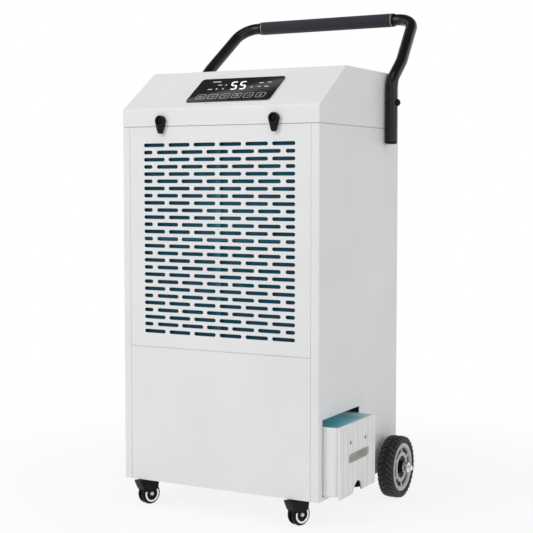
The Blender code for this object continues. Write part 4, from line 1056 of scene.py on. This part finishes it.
def tank_face():
    """Ribbed front: wide flat ribs between rounded grooves, cut for slot, notch and dimples."""
    back = TANK_X1 - 0.0055
    y0, y1 = TANK_Y0, TANK_Y1
    depth = 0.0042
    half = 0.0031
    edge = [(back, y0), (TANK_X1 - 0.0030, y0), (TANK_X1 - 0.0020, y0 + 0.0003),
            (TANK_X1 - 0.0009, y0 + 0.0010), (TANK_X1 - 0.0002, y0 + 0.0022),
            (TANK_X1, y0 + 0.0036)]
    for y in GROOVES_Y:
        for share in range(-4, 5):
            dip = depth * 0.5 * (1 + cos(pi * share / 4))
            edge.append((TANK_X1 - dip, y + half * share / 4))
    edge += [(TANK_X1, y1 - 0.0036), (TANK_X1 - 0.0002, y1 - 0.0022),
             (TANK_X1 - 0.0009, y1 - 0.0010), (TANK_X1 - 0.0020, y1 - 0.0003),
             (TANK_X1 - 0.0030, y1), (back, y1)]
    loops = []
    for z, pull in ((TANK_LIP_Z, 0.0016), (TANK_LIP_Z + 0.0007, 0.0005),
                    (TANK_LIP_Z + 0.0018, 0.0), (TANK_Z1 - 0.0030, 0.0),
                    (TANK_Z1 - 0.0012, 0.0004), (TANK_Z1, 0.0020)):
        loops.append([(max(x - pull, back), min(max(y, y0 + pull), y1 - pull), z)
                      for x, y in edge])
    face = layered(loops)
    slot = flat([stadium(*SLOT_Y, SLOT_Z, SLOT_HEIGHT)], 0.05)
    notch = flat([arc((NOTCH_Y, TANK_LIP_Z), NOTCH_R, 0, 180, 32)
                  + [(NOTCH_Y - NOTCH_R, 0.04), (NOTCH_Y + NOTCH_R, 0.04)]], 0.05)
    tools = []
    for tool in (slot, notch):
        tool.transform(at(TANK_X1, 0, 0, SIDEWAYS))
        tools.append(tool)
    for y, z in DIMPLES:
        pit = turned([(0, 0.01), (0.0056, 0.01), (0.0050, -0.0002), (0.0044, -0.0040),
                      (0, -0.0042)], 32)
        pit.transform(at(TANK_X1, y, z, Matrix.Rotation(pi / 2, 4, "Y")))
        tools.append(pit)
    return carve(face, tools)


def stadium_cup(steps):
    """Loops of a stadium-shaped cup from (inset, x) pairs, for the finger slot."""
    loops = []
    for inset, x in steps:
        loop = stadium(SLOT_Y[0] + inset, SLOT_Y[1] - inset, SLOT_Z, SLOT_HEIGHT - 2 * inset)
        loops.append([(x, y, z) for y, z in loop])
    return layered(loops)


def across_face(loop, back, front):
    """A solid with an outline in Y and Z, between two depths behind the tank's face."""
    solid = flat([loop], back - front)
    solid.transform(at(TANK_X1 - (back + front) / 2, 0, 0, SIDEWAYS))
    return solid


def arch(radius, drop=0.0):
    """Half-round outline over the thumb notch, with its legs drawn down by drop."""
    loop = arc((NOTCH_Y, TANK_LIP_Z), radius, 0, 180, 28)
    if drop:
        loop += [(NOTCH_Y - radius, TANK_LIP_Z - drop), (NOTCH_Y + radius, TANK_LIP_Z - drop)]
    return loop


def water_tank():
    """Tub, ribbed front with its two cups and stops, and the water that stands in it."""
    body = "water_tank"
    opening = stadium(SLOT_Y[0] - 0.0020, SLOT_Y[1] + 0.0020, SLOT_Z, SLOT_HEIGHT + 0.0040)
    tub = carve(tank_tub(), [across_face(opening, 0.0150, -0.01),
                             across_face(arch(0.0264, 0.01), 0.0252, -0.01)])
    put("tank_tub", tub, WHITE, body, stands_for=["water_tank"])
    put("tank_front", tank_face(), WHITE, body, smooth=24)
    x = TANK_X1
    cup = stadium_cup([(-0.0020, x - 0.0250), (-0.0020, x - 0.0040), (0.0, x - 0.0040),
                       (0.0003, x - 0.0200), (0.0012, x - 0.0226), (0.0030, x - 0.0238)])
    # The cup's grey is painted shade in the slot.
    put("finger_slot_cup", cup, POCKET, body)
    lip = stadium(SLOT_Y[0] - 0.0004, SLOT_Y[1] + 0.0004, SLOT_Z, SLOT_HEIGHT + 0.0008, 20)
    ring = [(x - 0.0004, y, z) for y, z in [*lip, lip[0]]]
    put("finger_slot_lip", rods([ring], 0.0012, 3), WHITE, body, smooth=60)
    steps = ((0.0240, 0.0095), (0.0180, 0.0140), (0.0125, 0.0180), (0.0080, 0.0215))
    tools = [across_face(arch(radius, 0.01), depth, -0.01) for radius, depth in steps]
    # Behind the ribbed front the cup stops at the tub's floor, clear of the tank bay's foot.
    tools.append(block((x - 0.030, NOTCH_Y - 0.030, 0.0600),
                       (x - 0.0057, NOTCH_Y + 0.030, TANK_Z0 - 0.0001), 0.0001, 1))
    cup = carve(across_face(arch(0.0262), 0.0250, 0.0040), tools)
    # The notch cup is black: painted shade for the deep thumb notch.
    put("thumb_notch_cup", cup, BLACK, body)
    for index, (y, z) in enumerate(DIMPLES):
        stud = turned([(0, -0.0010), (0.0014, -0.0011), (0.0026, -0.0020), (0.0030, -0.0038),
                       (0, -0.0046)], 24)
        put(f"tank_stud_{index + 1}", stud, BLACK, body,
            at(x, y, z, Matrix.Rotation(pi / 2, 4, "Y")))

    inset = TANK_WALL + 0.0008
    pool = layered([level(0.0120, TANK_Z0 + TANK_WALL + 0.0012, 0.004),
                    level(inset, TANK_Z0 + 0.010, 0.0072), level(inset, 0.2000, 0.0075),
                    level(inset + 0.0010, 0.1994, 0.0068)])
    outside = stadium(SLOT_Y[0] - 0.0024, SLOT_Y[1] + 0.0024, SLOT_Z, SLOT_HEIGHT + 0.0048)
    pool = carve(pool, [across_face(outside, 0.0254, -0.01),
                        across_face(arch(0.0266, 0.01), 0.0254, -0.01)])
    put("collected_water", pool, WATER, body)


water_tank()


# ---------------------------------------------------------------- rear fittings
def louvre_lip():
    """Pressed eyebrow over one outlet slot, tapering into the sheet at both ends."""
    length = 0.107
    stations = 14
    loops = []
    for index in range(stations + 1):
        share = index / stations
        swell = max(sin(pi * share), 0.0) ** 0.35
        x = length * (share - 0.5)
        reach = 0.0008 + 0.0052 * swell
        outer = [(reach * sin(radians(a)), 0.0075 - 0.0105 * swell * (1 - cos(radians(a))))
                 for a in range(0, 91, 15)]
        inner = [(max(reach - 0.0009, 0.0) * sin(radians(a)) - 0.0003,
                  0.0066 - 0.0096 * swell * (1 - cos(radians(a)))) for a in range(90, -1, -15)]
        loops.append([(x, y, z) for y, z in outer + inner])
    return layered(loops)


def rear_fittings():
    """Gland, drain cap, panel screws and the lips over the outlet slots."""
    gland = [(0, 0.0240), (0.0058, 0.0240), (0.0080, 0.0232), (0.0094, 0.0212),
             (0.0102, 0.0180), (0.0105, 0.0135), (0.0105, 0.0080), (0.0090, 0.0)]
    dome = gland + [(0.0090, -0.0100), (0, -0.0100)]
    hexagon = flat([circle(0.0138, 6)], 0.0070, 0.0005, 1)
    place = at(0.150, REAR, 0.255, REARWARD)
    put("gland_dome", turned(dome, 40), BLACK, "cabinet", place, ["cable_gland"])
    put("gland_hexagon", hexagon, BLACK, "cabinet", place @ at(0, 0, 0.0040))
    cap = [(0, 0.0300), (0.0085, 0.0298), (0.0098, 0.0288), (0.0100, 0.0270), (0.0100, 0.0110),
           (0.0088, 0.0100), (0.0088, 0.0070), (0.0140, 0.0062), (0.0150, 0.0050),
           (0.0150, 0.0003), (0.0080, 0.0003), (0.0080, -0.0080), (0, -0.0080)]
    place = at(-0.150, REAR, 0.215, REARWARD)
    put("drain_cap", turned(cap, 48), WHITE, "cabinet", place, ["drain_port"])
    ribs = []
    for index in range(20):
        turn = Matrix.Rotation(2 * pi * index / 20, 4, "Z")
        ribs.append((block((0.0094, -0.0006, 0.0120), (0.0108, 0.0006, 0.0278), 0.0004, 2), turn))
    put("drain_cap_ribs", together(ribs), WHITE, "cabinet", place)

    screw = cross_screw(0.0040, 0.0021)
    spots = [(sign * 0.205, z) for sign in (-1, 1) for z in (0.085, 0.330, 0.575, 0.815)]
    spots += [(0.0, 0.085), (0.0, 0.815)]
    heads = [(screw, at(x, REAR, z, REARWARD)) for x, z in spots]
    put("rear_panel_screws", together(heads), ZINC, "cabinet")
    lips = []
    for row in range(10):
        for x in (-0.125, 0.0, 0.125):
            lips.append((louvre_lip(), at(x, REAR, 0.740 - 0.030 * row)))
    put("louvre_lips", together(lips), POWDER, "cabinet", smooth=40)


rear_fittings()


# ---------------------------------------------------------------- stage
def seen_white(tree):
    """1 for camera, glossy and transmission rays, and 0 for the light that falls on things."""
    path = add(tree, "LightPath").outputs
    seen = add(tree, "Math", {0: path["Is Camera Ray"], 1: path["Is Glossy Ray"]},
               operation="MAXIMUM").outputs[0]
    return add(tree, "Math", {0: seen, 1: path["Is Transmission Ray"]},
               operation="MAXIMUM").outputs[0]


def studio_world():
    """One plain level of light on things; what they show is white low down and a dim ceiling
    high up, with one long pale panel across it."""
    light_level = 0.56
    ceiling_level = 0.10
    panel_level = 0.80
    panel_side = (-0.1476, 0.8511, -0.5039)      # square to the panel's edge
    world = bpy.data.worlds.new("studio")
    bpy.context.scene.world = world
    world.use_nodes = True
    tree = world.node_tree
    way = add(tree, "TexCoord").outputs["Generated"]
    height = add(tree, "SeparateXYZ", {0: way}).outputs["Z"]
    ceiling = add(tree, "MapRange", {"Value": height, "From Min": 0.47, "From Max": 0.72,
                                     "To Min": 1.0, "To Max": ceiling_level},
                  interpolation_type="SMOOTHSTEP").outputs[0]
    across = add(tree, "VectorMath", {0: way, 1: panel_side},
                 operation="DOT_PRODUCT").outputs["Value"]
    near = add(tree, "MapRange", {"Value": across, "From Min": -0.0085,
                                  "From Max": -0.0012}).outputs[0]
    far = add(tree, "MapRange", {"Value": across, "From Min": -0.0002, "From Max": 0.0004,
                                 "To Min": panel_level, "To Max": 0.0}).outputs[0]
    panel = add(tree, "Math", {0: near, 1: far}, operation="MULTIPLY").outputs[0]
    shown = add(tree, "Math", {0: ceiling, 1: panel}, operation="MAXIMUM").outputs[0]
    level = add(tree, "MapRange", {"Value": seen_white(tree), "To Min": light_level,
                                   "To Max": shown})
    background = tree.nodes["Background"]
    background.inputs["Color"].default_value = (1, 1, 1, 1)
    tree.links.new(level.outputs[0], background.inputs["Strength"])


studio_world()


def studio_floor():
    """Matt white floor that fades into the white surround and keeps a faint shadow."""
    skin = bpy.data.materials.new("matt_white_floor")
    skin.use_nodes = True
    tree = skin.node_tree
    tree.nodes.remove(tree.nodes["Principled BSDF"])
    place = add(tree, "NewGeometry").outputs["Position"]
    away = add(tree, "VectorMath", {0: place}, operation="LENGTH").outputs["Value"]
    fade = add(tree, "MapRange", {"Value": away, "From Min": 0.35, "From Max": 1.3,
                                  "To Min": 0.84},
               interpolation_type="SMOOTHSTEP").outputs[0]
    fade = add(tree, "Math", {0: fade, 1: seen_white(tree)}, operation="MULTIPLY").outputs[0]
    matt = add(tree, "BsdfDiffuse", {"Color": linear("F4F4F4")}).outputs[0]
    glow = add(tree, "Emission", {"Color": (1, 1, 1, 1), "Strength": 1.0}).outputs[0]
    both = add(tree, "MixShader", {0: fade, 1: matt, 2: glow}).outputs[0]
    tree.links.new(both, tree.nodes["Material Output"].inputs["Surface"])
    bm = bmesh.new()
    bmesh.ops.create_circle(bm, cap_ends=True, segments=96, radius=12)
    mesh = bpy.data.meshes.new("floor")
    bm.to_mesh(mesh)
    bm.free()
    mesh.materials.append(skin)
    floor = bpy.data.objects.new("floor", mesh)
    bpy.context.scene.collection.objects.link(floor)


studio_floor()


def soft_light(name, where, target, size, power):
    """A rectangular lamp aimed at a point."""
    data = bpy.data.lights.new(name, "AREA")
    data.shape = "RECTANGLE"
    data.size, data.size_y = size
    data.energy = power
    lamp = bpy.data.objects.new(name, data)
    bpy.context.scene.collection.objects.link(lamp)
    lamp.location = where
    lamp.rotation_euler = (Vector(target) - Vector(where)).to_track_quat("-Z", "Y").to_euler()


soft_light("key", (-1.6, -3.2, 2.6), (0, 0, 0.6), (1.6, 2.2), 44)
soft_light("top", (0.2, -0.8, 3.2), (0, 0, 0.6), (1.6, 1.6), 9)
soft_light("side", (3.4, -0.6, 1.6), (0, 0, 0.5), (0.8, 2.2), 8)

camera = bpy.data.objects.new("camera", bpy.data.cameras.new("camera"))
bpy.context.scene.collection.objects.link(camera)
camera.location = (1.3348, -2.5329, 0.7174)
camera.rotation_euler = (radians(86.078), 0, radians(28.24))
camera.data.sensor_width = 36
camera.data.lens = 84.0
bpy.context.scene.camera = camera
bpy.context.scene.view_settings.view_transform = "Standard"
